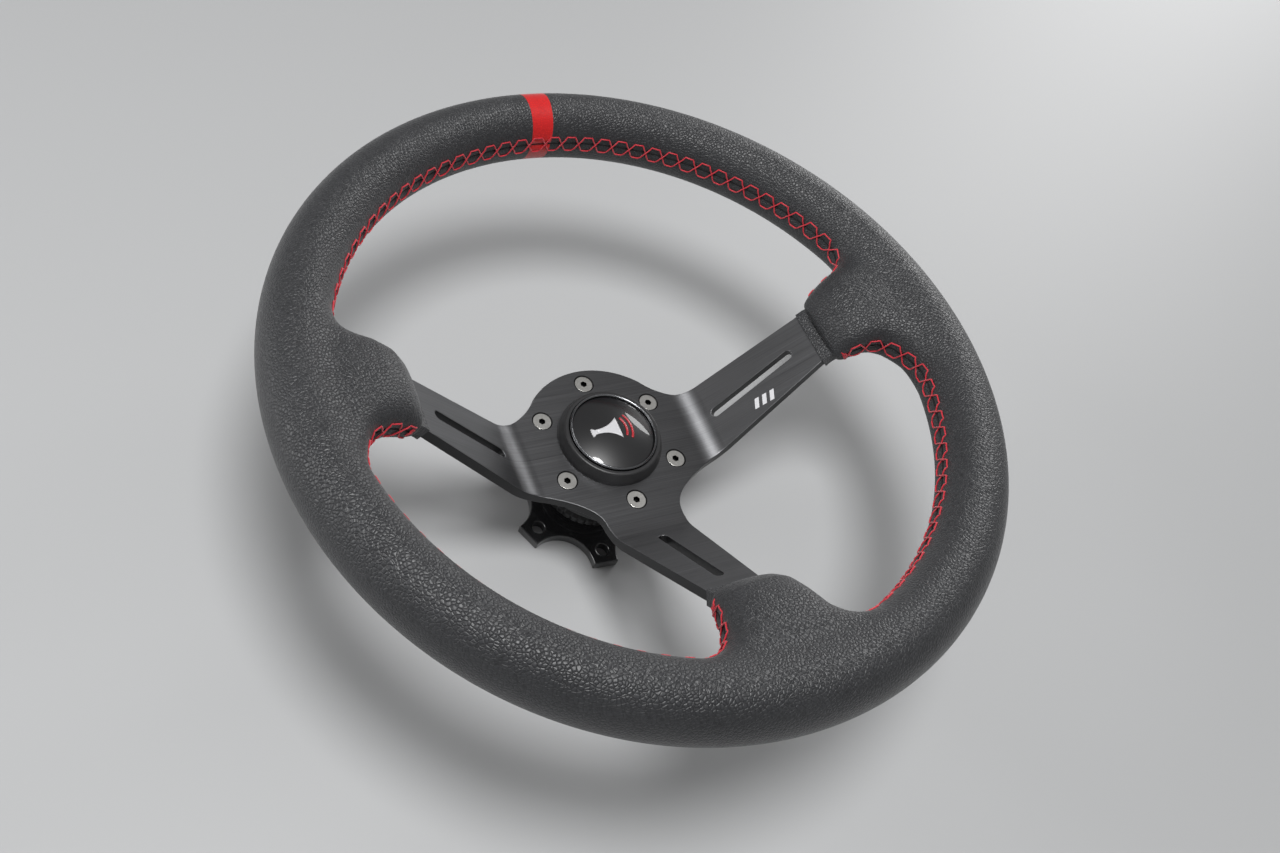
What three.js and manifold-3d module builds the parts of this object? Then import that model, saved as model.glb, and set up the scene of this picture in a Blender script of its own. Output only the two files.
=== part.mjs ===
// Quick release steering wheel: a leather-bound deep-dish rim on a three-spoke
// aluminium plate, carried by a ball-lock quick release on a six-lobed column flange.
// Millimetres. +Z is the steering axis, towards the driver; +Y is the top of the wheel.
// The origin is the centre of the column flange's rear face.
import * as THREE from 'three';
import { mergeVertices } from 'three/addons/utils/BufferGeometryUtils.js';
import Module from 'manifold-3d';

const wasm = await Module();
wasm.setup();

// ---- driving dimensions ----
const gap = 0.3;                    // running and assembly clearance between neighbours

// rim
const wheelDiameter = 350;
const rimRadialHalf = 15.5;         // half the grip's thickness across the wheel's plane
const rimAxialHalf = 18;            // half the grip's thickness along the axis
const leatherThick = 1.6;
const coreRadius = 6;
const rimSectionSides = 12;
const coreSides = 6;
const ringStep = 10;                // degrees between ring stations

// levels along the axis
const flangeThick = 5.5;
const stackHeight = 50;             // column flange rear face to spoke plate rear face
const plateThick = 5;
const dish = 64;                    // spoke plate front face to rim centre plane

// spoke plate
const hubMargin = 8.2;              // plate left outside the bolts' centres
const bendOffset = 51.5;            // axis to the first bend line
const spokeRise = 0.86;             // slope of the spokes
const bendRadius = 15;
const sideSlot = { from: 58.2, to: 96.5, startY: -0.3, endY: 8.4 };
const bottomSlot = { from: 59, to: 97.5, startY: 0, endY: 0 };
const slotWidth = 4.7;
const padEdge = 105.5;              // axis to the pads' cut edges

// fixing circle shared by the wheel, the quick release and the column flange
const boltCircle = 70;
const boltCount = 6;
const screwRadius = 2.5;
const screwHeadRadius = 4.8;
const screwHeadDepth = 2.7;
const screwSocketFlats = 3;
const flangeHoleRadius = 3.3;
const flangeClocking = -5;          // degrees, column flange against the wheel's bolts

// column flange
const lobeMargin = 7.5;             // lobe left outside the holes' centres
const lobeWidth = 13.5;
const scallopDepth = 10;
const flangeBevel = 0.9;
const spigotStubRadius = 11.7;

// quick release
const splineTeeth = 8;
const splineTip = 15;
const splineRoot = 13.4;
const spigotTop = 36;
const barrelWall = 4.5;
const barrelFoot = 9.5;
const bodyFlangeMargin = 6.5;
const bodyFlangeThick = 6;
const ballRadius = 3;
const ballCount = 6;
const ballLevel = 20;
const ballTravel = 1.6;
const collarTravel = 6;
const collarWall = 7.2;             // barrel to the collar's rim
const collarWaistDepth = 1.6;
const collarFoot = 15.5;
const collarTop = 36;
const springWire = 0.9;

// horn button
const hornHoleRadius = 25;
const bezelRadius = 27;
const bezelRise = 7;
const emblemRadius = 21;
const emblemRise = 10.7;            // plate front face to the top of the dome
const hornTravel = 2;

// ---- values that follow from them ----
const rimRadius = wheelDiameter / 2 - rimRadialHalf;
const plateBack = stackHeight;
const plateFront = plateBack + plateThick;
const rimLevel = plateFront + dish;
const bodyFront = plateBack - gap;
const bodyFlangeBack = bodyFront - bodyFlangeThick;
const spokeEndLevel = rimLevel - coreRadius - gap;
const coneSlope = ballTravel / collarTravel;
const coneFactor = Math.sqrt(1 + coneSlope * coneSlope);
const barrelBore = splineTip + gap;
const barrelRadius = barrelBore + barrelWall;
const collarRadius = barrelRadius + collarWall;
const collarWaist = collarRadius - collarWaistDepth;
const hubRadius = boltCircle / 2 + hubMargin;
const lobeReach = boltCircle / 2 + lobeMargin;
const bodyFlangeRadius = boltCircle / 2 + bodyFlangeMargin;
const ballRest = barrelBore + ballRadius + 0.1;
const ballLocked = ballRest - ballTravel;
const rad = THREE.MathUtils.degToRad;

// facets of round pieces
const turnedSides = 36;
const smallSides = 12;

// ---- materials ----
const finish = (color, roughness, metalness) =>
  new THREE.MeshStandardMaterial({ color, roughness, metalness });
const leather = finish(0x3a3b40, 0.55, 0);
const redLeather = finish(0xb01218, 0.4, 0);
const gunmetal = finish(0x55585e, 0.35, 1);
const glossBlack = finish(0x0b0b0d, 0.15, 0.4);
const satinBlack = finish(0x1a1a1c, 0.4, 0.3);
const steel = finish(0x9a9da3, 0.3, 1);
const nickel = finish(0xb9bcc0, 0.25, 1);
const brass = finish(0xb08d4a, 0.35, 1);
const foam = finish(0x2a2a2a, 0.95, 0);
const plastic = finish(0x141416, 0.5, 0);
const redGloss = finish(0x8f1014, 0.1, 0);

// ---- solids ----
function toSolid(geometry) {
  const bare = geometry.clone();
  for (const name of Object.keys(bare.attributes)) {
    if (name !== 'position') bare.deleteAttribute(name);
  }
  const merged = mergeVertices(bare, 1e-4);
  const index = merged.index.array;
  const points = merged.attributes.position.array;
  const triVerts = [];
  for (let i = 0; i < index.length; i += 3) {
    const [a, b, c] = [index[i], index[i + 1], index[i + 2]];
    if (a !== b && b !== c && c !== a) triVerts.push(a, b, c);
  }
  if (signedVolume(points, triVerts) < 0) {
    for (let i = 0; i < triVerts.length; i += 3) {
      [triVerts[i + 1], triVerts[i + 2]] = [triVerts[i + 2], triVerts[i + 1]];
    }
  }
  const mesh = new wasm.Mesh({
    numProp: 3,
    vertProperties: new Float32Array(points),
    triVerts: new Uint32Array(triVerts),
  });
  return new wasm.Manifold(mesh);
}

function signedVolume(points, tris) {
  let sum = 0;
  const at = (i) => new THREE.Vector3(points[3 * i], points[3 * i + 1], points[3 * i + 2]);
  for (let i = 0; i < tris.length; i += 3) {
    sum += at(tris[i]).dot(at(tris[i + 1]).cross(at(tris[i + 2])));
  }
  return sum / 6;
}

function toGeometry(solid) {
  const mesh = solid.getMesh();
  const geometry = new THREE.BufferGeometry();
  const points = new Float32Array(mesh.numVert * 3);
  for (let i = 0; i < mesh.numVert; i++) {
    for (let k = 0; k < 3; k++) points[3 * i + k] = mesh.vertProperties[i * mesh.numProp + k];
  }
  geometry.setAttribute('position', new THREE.BufferAttribute(points, 3));
  geometry.setIndex(Array.from(mesh.triVerts));
  geometry.computeVertexNormals();
  return geometry;
}

// A body through a row of rings with the same number of points, closed by flat caps.
function loft(rings) {
  const count = rings[0].length;
  const points = rings.flat().flatMap((p) => [p.x, p.y, p.z]);
  const index = [];
  for (let i = 0; i + 1 < rings.length; i++) {
    for (let j = 0; j < count; j++) {
      const a = i * count + j;
      const b = i * count + (j + 1) % count;
      index.push(a, b, b + count, a, b + count, a + count);
    }
  }
  const last = (rings.length - 1) * count;
  for (let j = 1; j + 1 < count; j++) {
    index.push(0, j + 1, j);
    index.push(last, last + j, last + j + 1);
  }
  const geometry = new THREE.BufferGeometry();
  geometry.setAttribute('position', new THREE.Float32BufferAttribute(points, 3));
  geometry.setIndex(index);
  return toSolid(geometry);
}

// A solid turned about Z from closed [radius, level] points.
function turned(profile, segments = turnedSides) {
  const points = profile.map(([r, z]) => new THREE.Vector2(r, z));
  if (profile[0][0] > 0 || profile[profile.length - 1][0] > 0) points.push(points[0].clone());
  const geometry = new THREE.LatheGeometry(points, segments);
  geometry.rotateX(Math.PI / 2);
  return toSolid(geometry);
}

function extruded(outline, from, to, bevel = 0) {
  const geometry = new THREE.ExtrudeGeometry(new THREE.Shape(outline), {
    depth: to - from - 2 * bevel,
    bevelEnabled: bevel > 0,
    bevelSize: bevel,
    bevelThickness: bevel,
    bevelOffset: -bevel,
    bevelSegments: 1,
    steps: 1,
  });
  geometry.translate(0, 0, from + bevel);
  return toSolid(geometry);
}

function drum(radius, from, to, x = 0, y = 0, segments = smallSides) {
  const geometry = new THREE.CylinderGeometry(radius, radius, to - from, segments);
  geometry.rotateX(Math.PI / 2);
  geometry.translate(x, y, (from + to) / 2);
  return toSolid(geometry);
}

const polar = (radius, degrees) =>
  new THREE.Vector2(radius * Math.cos(rad(degrees)), radius * Math.sin(rad(degrees)));

// ---- rim ----
const headings = { right: 3.8, left: 176.2, bottom: 270 };
const padHalfSpan = 19;
const markHalfSpan = 2.24;

// Elliptical section of the rim at one heading, grown or shrunk by an offset.
function rimRing(heading, offset, sides = rimSectionSides, round = 0) {
  const ring = [];
  const across = round || rimRadialHalf + offset;
  const along = round || rimAxialHalf + offset;
  for (let i = 0; i < sides; i++) {
    const turn = 2 * Math.PI * i / sides;
    const flat = polar(rimRadius + across * Math.cos(turn), heading);
    ring.push(new THREE.Vector3(flat.x, flat.y, rimLevel + along * Math.sin(turn)));
  }
  return ring;
}

const seams = [
  headings.right + padHalfSpan, 90 - markHalfSpan, 90 + markHalfSpan,
  headings.left - padHalfSpan, headings.left + padHalfSpan,
  headings.bottom - padHalfSpan, headings.bottom + padHalfSpan,
  headings.right - padHalfSpan + 360,
];

// Ring stations shared by every layer, so that facets of neighbouring layers stay parallel.
function stations(from, to) {
  const marks = [from, to];
  for (const seam of seams) {
    for (const turnBack of [-360, 0, 360]) marks.push(seam + turnBack);
  }
  for (let a = -360; a <= 720; a += ringStep) marks.push(a);
  const inside = marks.filter((a) => a >= from - 1e-6 && a <= to + 1e-6).sort((a, b) => a - b);
  return inside.filter((a, i) => i === 0 || a - inside[i - 1] > 1e-3);
}

function rimTube(from, to, offset, sides, round) {
  return loft(stations(from, to).map((a) => rimRing(a, offset, sides, round)));
}

const seamGap = gap / 2 / rimRadius * 180 / Math.PI;

// A tubular cover between two seams.
function cover(from, to, outer, inner, innerSides, innerRound) {
  const shell = rimTube(from + seamGap, to - seamGap, outer);
  return shell.subtract(rimTube(from - 1, to + 1, inner, innerSides, innerRound));
}

const coreBore = (coreRadius + gap) / Math.cos(Math.PI / coreSides);

function ringCore() {
  const rings = stations(0, 360).slice(0, -1).map((a) => rimRing(a, 0, coreSides, coreRadius));
  rings.push(rings[0]);
  const points = rings.flat().flatMap((p) => [p.x, p.y, p.z]);
  const index = [];
  for (let i = 0; i + 1 < rings.length; i++) {
    for (let j = 0; j < coreSides; j++) {
      const a = i * coreSides + j;
      const b = i * coreSides + (j + 1) % coreSides;
      index.push(a, b, b + coreSides, a, b + coreSides, a + coreSides);
    }
  }
  const geometry = new THREE.BufferGeometry();
  geometry.setAttribute('position', new THREE.Float32BufferAttribute(points, 3));
  geometry.setIndex(index);
  return toSolid(geometry);
}

// ---- spokes ----
// Front face of a spoke in its own plane: distance out, level and the face's normal.
function spokePath(reach) {
  const slopeAngle = Math.atan(spokeRise);
  const crest = bendOffset + (spokeEndLevel - plateFront) / spokeRise;
  const path = [];
  const straight = (x, z, angle) =>
    path.push({ x, z, nx: -Math.sin(angle), nz: Math.cos(angle) });
  const tangentIn = bendRadius * Math.tan(slopeAngle / 2);
  for (const x of [22, 28, 34, 40]) straight(x, plateFront, 0);
  for (let i = 0; i <= 3; i++) {
    const angle = slopeAngle * i / 3;
    const x = bendOffset - tangentIn + bendRadius * Math.sin(angle);
    straight(x, plateFront + bendRadius * (1 - Math.cos(angle)), angle);
  }
  const outer = bendRadius + plateThick;
  const tangentOut = outer * Math.tan(slopeAngle / 2);
  for (let i = 0; i <= 3; i++) {
    const angle = slopeAngle * (1 - i / 3);
    const x = crest + tangentOut - outer * Math.sin(angle);
    straight(x, spokeEndLevel - outer * (1 - Math.cos(angle)), angle);
  }
  straight(reach, spokeEndLevel, 0);
  return path;
}

const square = (value) => Math.max(0, value) ** 2;

// Edges of the side spokes (rising slightly outwards as far as the pads) and of the bottom spoke.
const spokeEdges = {
  side: (x) => {
    const open = Math.min(x, padEdge + 2.5);
    const foot = 0.0022 * square(x - 112);
    return [
      -18.9 + 0.32 * (open - 60) - 0.035 * square(40 - x) - foot,
      18.5 + 0.125 * (open - 57.5) + 0.0156 * square(57 - x) + foot,
    ];
  },
  bottom: (x) => [
    -(19.4 - 0.118 * (x - 55) + 0.055 * square(44 - x) + 0.0022 * square(x - 112)),
    19.4 - 0.118 * (x - 55) + 0.055 * square(44 - x) + 0.0022 * square(x - 112),
  ],
};

// A bar that follows the spoke between two depths below its front face.
function spokeBar(edges, path, shallow, deep, spread = 0) {
  const rings = path.map((p) => {
    const [low, high] = edges(p.x);
    const at = (y, depth) => new THREE.Vector3(p.x - depth * p.nx, y, p.z - depth * p.nz);
    return [
      at(low - spread, shallow), at(high + spread, shallow),
      at(high + spread, deep), at(low - spread, deep),
    ];
  });
  return loft(rings);
}

// Slot cutter with round ends, running along the spoke.
function slotBar(slot) {
  const half = slotWidth / 2;
  const angle = Math.atan(spokeRise);
  const reach = half * Math.cos(angle);
  const rings = [];
  const levelAt = (x) => plateFront + (x - bendOffset) * spokeRise;
  const add = (x, width) => {
    const middle = slot.startY + (slot.endY - slot.startY) * (x - slot.from) / (slot.to - slot.from);
    const at = (y, depth) => new THREE.Vector3(
      x + depth * Math.sin(angle), y, levelAt(x) - depth * Math.cos(angle));
    rings.push([
      at(middle - width, -2), at(middle + width, -2),
      at(middle + width, plateThick + 2), at(middle - width, plateThick + 2),
    ]);
  };
  for (const turn of [0.2, 0.55, 1]) {
    const bow = turn * Math.PI / 2;
    add(slot.from + reach * (1 - Math.cos(bow)), half * Math.sin(bow));
  }
  for (const turn of [1, 0.55, 0.2]) {
    const bow = turn * Math.PI / 2;
    add(slot.to - reach * (1 - Math.cos(bow)), half * Math.sin(bow));
  }
  return loft(rings);
}

const spokes = [
  { name: 'right', edges: spokeEdges.side, slot: sideSlot, turn: 0, mirror: false },
  { name: 'left', edges: spokeEdges.side, slot: sideSlot, turn: 0, mirror: true },
  { name: 'bottom', edges: spokeEdges.bottom, slot: bottomSlot, turn: -90, mirror: false },
];

function placed(solid, spoke) {
  const geometry = toGeometry(solid);
  if (spoke.mirror) geometry.scale(-1, 1, 1);
  geometry.rotateZ(rad(spoke.turn));
  return toSolid(geometry);
}

const spokeReach = rimRadius + 3;
const boltHeadings = [...Array(boltCount).keys()].map((i) => 90 - i * 360 / boltCount);

function spokePlate() {
  let plate = drum(hubRadius, plateBack, plateFront, 0, 0, 48);
  for (const spoke of spokes) {
    const bar = spokeBar(spoke.edges, spokePath(spokeReach), 0, plateThick);
    plate = plate.add(placed(bar, spoke));
  }
  for (const spoke of spokes) plate = plate.subtract(placed(slotBar(spoke.slot), spoke));
  plate = plate.subtract(drum(hornHoleRadius, plateBack - 1, plateFront + 1, 0, 0, turnedSides));
  for (const heading of boltHeadings) {
    const at = polar(boltCircle / 2, heading);
    plate = plate.subtract(drum(screwRadius + gap, plateBack - 1, plateFront + 1, at.x, at.y));
    plate = plate.subtract(countersink(at, plateFront, gap));
  }
  for (const spoke of spokes) plate = plate.subtract(rivetShank(spoke, gap));
  return plate;
}

function countersink(at, level, clear) {
  const cone = turned([
    [0, level - screwHeadDepth - 0.2], [screwRadius + clear, level - screwHeadDepth - 0.2],
    [screwHeadRadius + clear, level - 0.2], [screwHeadRadius + clear, level + 1], [0, level + 1],
  ], smallSides);
  return cone.translate([at.x, at.y, 0]);
}

// ---- rivets that hold the spoke ends under the ring core ----
const rivetRadius = 2.2;
const rivetHead = 4;
const rivetSpot = (spoke) => polar(rimRadius, headings[spoke.name]);

function rivetShank(spoke, clear) {
  const at = rivetSpot(spoke);
  return drum(rivetRadius + clear, spokeEndLevel - plateThick - 3, rimLevel + 9, at.x, at.y);
}

function rivet(spoke) {
  const at = rivetSpot(spoke);
  const low = spokeEndLevel - plateThick - gap;
  const high = rimLevel + coreRadius + gap;
  const shank = drum(rivetRadius, low - 1, high + 1, at.x, at.y);
  const foot = drum(rivetHead, low - 1.6, low, at.x, at.y);
  const head = drum(rivetHead, high, high + 1.6, at.x, at.y);
  return shank.add(foot).add(head);
}

function rivetRoom(spoke) {
  const at = rivetSpot(spoke);
  const low = spokeEndLevel - plateThick - gap;
  const high = rimLevel + coreRadius + gap;
  return drum(rivetHead + gap, low - 1.9, high + 1.9, at.x, at.y);
}

// ---- leather pads over the spoke ends ----
const padSides = 12;
const padStart = { width: 2.2, thick: 2.4 };
const padRoot = { halfWidth: 36, halfThick: 10.5, x: rimRadius - 12, z: rimLevel - 1 };

// Flared body from the cut edge on the spoke to the inside of the rim.
function padFlare(spoke) {
  const steps = 6;
  const angle = Math.atan(spokeRise);
  const [lowEdge, highEdge] = spoke.edges(padEdge);
  const startZ = plateFront + (padEdge - bendOffset) * spokeRise;
  const start = new THREE.Vector3(
    padEdge + plateThick / 2 * Math.sin(angle), (lowEdge + highEdge) / 2,
    startZ - plateThick / 2 * Math.cos(angle));
  const endY = spoke.name === 'bottom' ? 0 : padRoot.x * Math.tan(rad(headings.right));
  const rings = [];
  for (let i = 0; i <= steps; i++) {
    const t = i / steps;
    const swell = t ** 2.2;
    const lean = angle * (1 - t) ** 1.5;
    const x = start.x + (padRoot.x - start.x) * t;
    const z = start.z + (padRoot.z - start.z) * (1 - (1 - t) ** 1.6);
    const y = start.y + (endY - start.y) * t;
    const halfWidth = (highEdge - lowEdge) / 2 + padStart.width
      + (padRoot.halfWidth - (highEdge - lowEdge) / 2 - padStart.width) * swell;
    const halfThick = plateThick / 2 + padStart.thick
      + (padRoot.halfThick - plateThick / 2 - padStart.thick) * t ** 1.3;
    rings.push(padRing(x, y, z, halfWidth, halfThick, lean));
  }
  return placed(loft(rings), spoke);
}

function padRing(x, y, z, halfWidth, halfThick, lean) {
  const ring = [];
  for (let i = 0; i < padSides; i++) {
    const turn = 2 * Math.PI * (i + 0.5) / padSides;
    const soften = (value) => Math.sign(value) * Math.abs(value) ** 0.6;
    const across = halfWidth * soften(Math.cos(turn));
    const up = halfThick * soften(Math.sin(turn));
    ring.push(new THREE.Vector3(x - up * Math.sin(lean), y + across, z + up * Math.cos(lean)));
  }
  return ring;
}

function spokePad(spoke) {
  const heading = headings[spoke.name];
  const collarTube = rimTube(
    heading - padHalfSpan + seamGap, heading + padHalfSpan - seamGap, 0);
  const path = spokePath(spokeReach + gap);
  const pocket = spokeBar(spoke.edges, path, -gap, plateThick + gap, gap);
  const bore = rimTube(heading - padHalfSpan - 2, heading + padHalfSpan + 2, 0, coreSides, coreBore);
  return padFlare(spoke).add(collarTube)
    .subtract(bore)
    .subtract(placed(pocket, spoke))
    .subtract(rivetRoom(spoke));
}

// ---- column side of the quick release ----
function lobedOutline() {
  const outline = [];
  const halfWidth = lobeWidth / 2;
  const steps = 6;
  for (const heading of boltHeadings) {
    const spin = (x, y) => new THREE.Vector2(x, y)
      .rotateAround(new THREE.Vector2(), rad(heading + flangeClocking));
    const next = (x, y) => new THREE.Vector2(x, y)
      .rotateAround(new THREE.Vector2(), rad(heading + flangeClocking - 360 / boltCount));
    outline.push(spin(lobeReach, halfWidth));
    const from = spin(lobeReach, -halfWidth);
    const to = next(lobeReach, halfWidth);
    const middle = from.clone().add(to).multiplyScalar(0.5);
    const halfChord = from.distanceTo(to) / 2;
    const radius = (halfChord ** 2 + scallopDepth ** 2) / (2 * scallopDepth);
    const outward = middle.clone().normalize();
    const centre = middle.clone().addScaledVector(outward, radius - scallopDepth);
    const along = to.clone().sub(from).normalize();
    const sweep = Math.asin(halfChord / radius);
    for (let i = 0; i <= steps; i++) {
      const bow = -sweep + 2 * sweep * i / steps;
      outline.push(centre.clone()
        .addScaledVector(along, radius * Math.sin(bow))
        .addScaledVector(outward, -radius * Math.cos(bow)));
    }
  }
  return outline.reverse();
}

function columnFlange() {
  let flange = extruded(lobedOutline(), 0, flangeThick, flangeBevel);
  flange = flange.subtract(drum(spigotStubRadius + gap, -1, flangeThick + 1, 0, 0, 24));
  for (const heading of boltHeadings) {
    const at = polar(boltCircle / 2, heading + flangeClocking);
    flange = flange.subtract(drum(flangeHoleRadius, -1, flangeThick + 1, at.x, at.y));
  }
  return flange;
}

// Straight-sided spline outline; clear widens it into a matching socket.
function splineOutline(clear) {
  const outline = [];
  const pitch = 360 / splineTeeth;
  const ease = clear / splineTip * 180 / Math.PI;
  for (let i = 0; i < splineTeeth; i++) {
    const middle = i * pitch;
    outline.push(polar(splineRoot + clear, middle - pitch * 0.32 - ease));
    outline.push(polar(splineTip + clear, middle - pitch * 0.22 - ease));
    outline.push(polar(splineTip + clear, middle + pitch * 0.22 + ease));
    outline.push(polar(splineRoot + clear, middle + pitch * 0.32 + ease));
  }
  return outline;
}

const spigotFoot = flangeThick + gap;
const insulatorRadius = 4.7;
const insulatorFoot = 1;
const insulatorTop = 35.5;

function splineSpigot() {
  let spigot = extruded(splineOutline(0), spigotFoot, spigotTop);
  spigot = spigot.intersect(turned([
    [0, spigotFoot - 1], [splineTip + 2, spigotFoot - 1], [splineTip + 2, spigotTop - 2.5],
    [splineRoot - 0.6, spigotTop + 0.5], [0, spigotTop + 0.5],
  ], 24));
  spigot = spigot.add(drum(spigotStubRadius, 0.6, spigotFoot + 1, 0, 0, 24));
  spigot = spigot.subtract(drum(insulatorRadius + gap, 0, spigotTop + 1));
  return spigot.subtract(ballGroove());
}

function ballGroove() {
  const clear = (ballRadius + gap) / Math.cos(Math.PI / 8);
  const profile = [];
  for (let i = 0; i < 8; i++) {
    const turn = 2 * Math.PI * (i + 0.5) / 8;
    profile.push([ballLocked + clear * Math.cos(turn), ballLevel + clear * Math.sin(turn)]);
  }
  return turned(profile, 24);
}

// Horn feed through the column half: tube, foot terminal, spring and sprung pin.
const pinRadius = 2;
const pinShoulder = 3.3;
const pinTop = 36.1;
const pinShoulderFoot = 24.3;
const terminalTop = 3;

function contactInsulator() {
  return turned([
    [pinShoulder + 0.4, insulatorFoot], [insulatorRadius, insulatorFoot],
    [insulatorRadius, insulatorTop], [pinRadius + gap, insulatorTop],
    [pinRadius + gap, insulatorTop - 2.2], [pinShoulder + 0.4, insulatorTop - 2.2],
  ], smallSides);
}

function contactTerminal() {
  return drum(pinShoulder, insulatorFoot, terminalTop);
}

function contactPin() {
  return turned([
    [0, pinShoulderFoot], [pinShoulder, pinShoulderFoot], [pinShoulder, pinShoulderFoot + 1.8],
    [pinRadius, pinShoulderFoot + 1.8], [pinRadius, pinTop - 1], [1.2, pinTop], [0, pinTop],
  ], smallSides);
}

class Helix extends THREE.Curve {
  constructor(radius, from, to, turns) {
    super();
    Object.assign(this, { radius, from, to, turns });
  }

  getPoint(t, target = new THREE.Vector3()) {
    const angle = 2 * Math.PI * this.turns * t;
    return target.set(
      this.radius * Math.cos(angle), this.radius * Math.sin(angle),
      this.from + (this.to - this.from) * t);
  }
}

// A coil between two seats, leaving the assembly gap at both ends.
function coil(radius, wire, from, to, turns, sides, perTurn) {
  const section = [];
  for (let i = 0; i < sides; i++) {
    const turn = 2 * Math.PI * i / sides;
    section.push(new THREE.Vector2(wire * Math.cos(turn), wire * Math.sin(turn)));
  }
  return toSolid(new THREE.ExtrudeGeometry(new THREE.Shape(section), {
    steps: Math.round(turns * perTurn),
    extrudePath: new Helix(radius, from + gap + wire, to - gap - wire, turns),
    bevelEnabled: false,
  }));
}

// ---- wheel side of the quick release ----
const cupRecessFloor = bodyFront - 4;
const cupRadius = 23.2;
const bulkheadBottom = spigotTop + 0.6;
const seatRadius = 5.7;
const ringGrooveRadius = barrelRadius - 1.2;
const clipFoot = 11;
const clipThick = 1;
const clipRadius = barrelRadius + 2.3;
const springSeat = 30;

function quickReleaseBody() {
  let body = turned([
    [0, barrelFoot], [barrelRadius - 0.8, barrelFoot], [barrelRadius, barrelFoot + 0.8],
    [barrelRadius, bodyFlangeBack], [bodyFlangeRadius - 0.8, bodyFlangeBack],
    [bodyFlangeRadius, bodyFlangeBack + 0.8], [bodyFlangeRadius, bodyFront], [0, bodyFront],
  ]);
  body = body.subtract(extruded(splineOutline(gap), barrelFoot - 1, bulkheadBottom));
  body = body.subtract(drum(cupRadius + gap, cupRecessFloor, bodyFront + 1, 0, 0, turnedSides));
  body = body.subtract(drum(seatRadius + gap, bulkheadBottom - 1, bodyFront));
  body = body.subtract(turned([
    [ringGrooveRadius, clipFoot - gap], [barrelRadius + 1, clipFoot - gap],
    [barrelRadius + 1, clipFoot + clipThick + gap], [ringGrooveRadius, clipFoot + clipThick + gap],
  ]));
  for (let i = 0; i < ballCount; i++) body = body.subtract(ballBore(i));
  for (const heading of boltHeadings) {
    const at = polar(boltCircle / 2, heading);
    body = body.subtract(
      drum(screwRadius + gap, bodyFlangeBack - 1, bodyFront + 1, at.x, at.y));
  }
  return body;
}

const ballHeading = (i) => i * 360 / ballCount;

function ballBore(i) {
  const bore = new THREE.CylinderGeometry(ballRadius + gap, ballRadius + gap, 10, 10);
  bore.rotateZ(Math.PI / 2);
  bore.translate(ballRest, 0, 0);
  bore.rotateZ(rad(ballHeading(i)));
  bore.translate(0, 0, ballLevel);
  return toSolid(bore);
}

// The collar's inner cone sets how far out the balls may sit.
function releaseCollar() {
  const coneAtBall = ballRest + (ballRadius + gap) * coneFactor;
  const coneAt = (z) => coneAtBall - coneSlope * (z - ballLevel);
  const levelAt = (r) => ballLevel + (coneAtBall - r) / coneSlope;
  const guide = barrelRadius + gap;
  const pocket = barrelRadius + 4.6;
  return turned([
    [coneAt(collarFoot), collarFoot], [collarRadius - 0.8, collarFoot],
    [collarRadius, collarFoot + 0.8], [collarRadius, collarFoot + 4],
    [collarWaist, collarFoot + 5.2], [collarWaist, collarTop - 4.2],
    [collarRadius, collarTop - 3], [collarRadius, collarTop - 0.8],
    [collarRadius - 0.8, collarTop], [pocket, collarTop], [pocket, springSeat],
    [guide, springSeat], [guide, levelAt(guide)],
  ]);
}

// Open retaining ring below the collar, in the barrel's groove.
function retainingRing() {
  const inner = ringGrooveRadius + gap;
  const rings = [];
  for (let a = 15; a <= 345; a += 15) {
    const corner = (r, z) => {
      const flat = polar(r, a + 90);
      return new THREE.Vector3(flat.x, flat.y, z);
    };
    rings.push([
      corner(inner, clipFoot), corner(clipRadius, clipFoot),
      corner(clipRadius, clipFoot + clipThick), corner(inner, clipFoot + clipThick),
    ]);
  }
  return loft(rings);
}

function contactSeat() {
  return turned([
    [3.3, bulkheadBottom + 0.4], [seatRadius, bulkheadBottom + 0.4],
    [seatRadius, cupRecessFloor - 0.6], [3.3, cupRecessFloor - 0.6],
  ], smallSides);
}

function contactDisc() {
  return drum(3, pinTop + gap, cupRecessFloor - 0.6);
}

// ---- screws ----
function wheelScrew(heading) {
  const at = polar(boltCircle / 2, heading);
  const top = plateFront - 0.3;
  let screw = turned([
    [0, bodyFlangeBack + 0.5], [screwRadius, bodyFlangeBack + 0.5],
    [screwRadius, top - screwHeadDepth], [screwHeadRadius, top], [0, top],
  ], smallSides);
  const flats = screwSocketFlats / Math.sqrt(3);
  screw = screw.subtract(drum(flats, top - 2, top + 1, 0, 0, 6));
  return screw.translate([at.x, at.y, 0]);
}

// ---- horn button ----
const bezelTop = plateFront + bezelRise;
const lipRadius = 22.7;
const capRadius = 23.2;
const capFoot = plateFront + 2;
const capTop = capFoot + 2.4;
const cupFoot = cupRecessFloor + gap;
const cupTop = capFoot - hornTravel - 0.4;
const contactTop = cupFoot + 2.6;

function hornBezel() {
  return turned([
    [bezelRadius, plateFront + gap], [bezelRadius - 0.5, plateFront + 2.4],
    [lipRadius + 2.1, bezelTop - 0.4], [lipRadius + 1.6, bezelTop], [lipRadius, bezelTop],
    [lipRadius, bezelTop - 1.2], [capRadius + gap, bezelTop - 1.2],
    [capRadius + gap, plateBack + 0.6], [hornHoleRadius - gap, plateBack + 0.6],
    [hornHoleRadius - gap, plateFront + gap],
  ]);
}

function hornCup() {
  return turned([
    [0, cupFoot], [cupRadius, cupFoot], [cupRadius, cupTop], [cupRadius - 1.2, cupTop],
    [cupRadius - 1.2, cupFoot + 1.6], [0, cupFoot + 1.6],
  ]);
}

function hornContactPlate() {
  return drum(12, cupFoot + 1.6 + gap, contactTop, 0, 0, 18);
}

function hornStud() {
  return turned([
    [0, contactTop + hornTravel + 0.4], [3.6, contactTop + hornTravel + 0.4],
    [4, contactTop + hornTravel + 0.8], [4, capFoot - gap], [0, capFoot - gap],
  ], smallSides);
}

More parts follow.
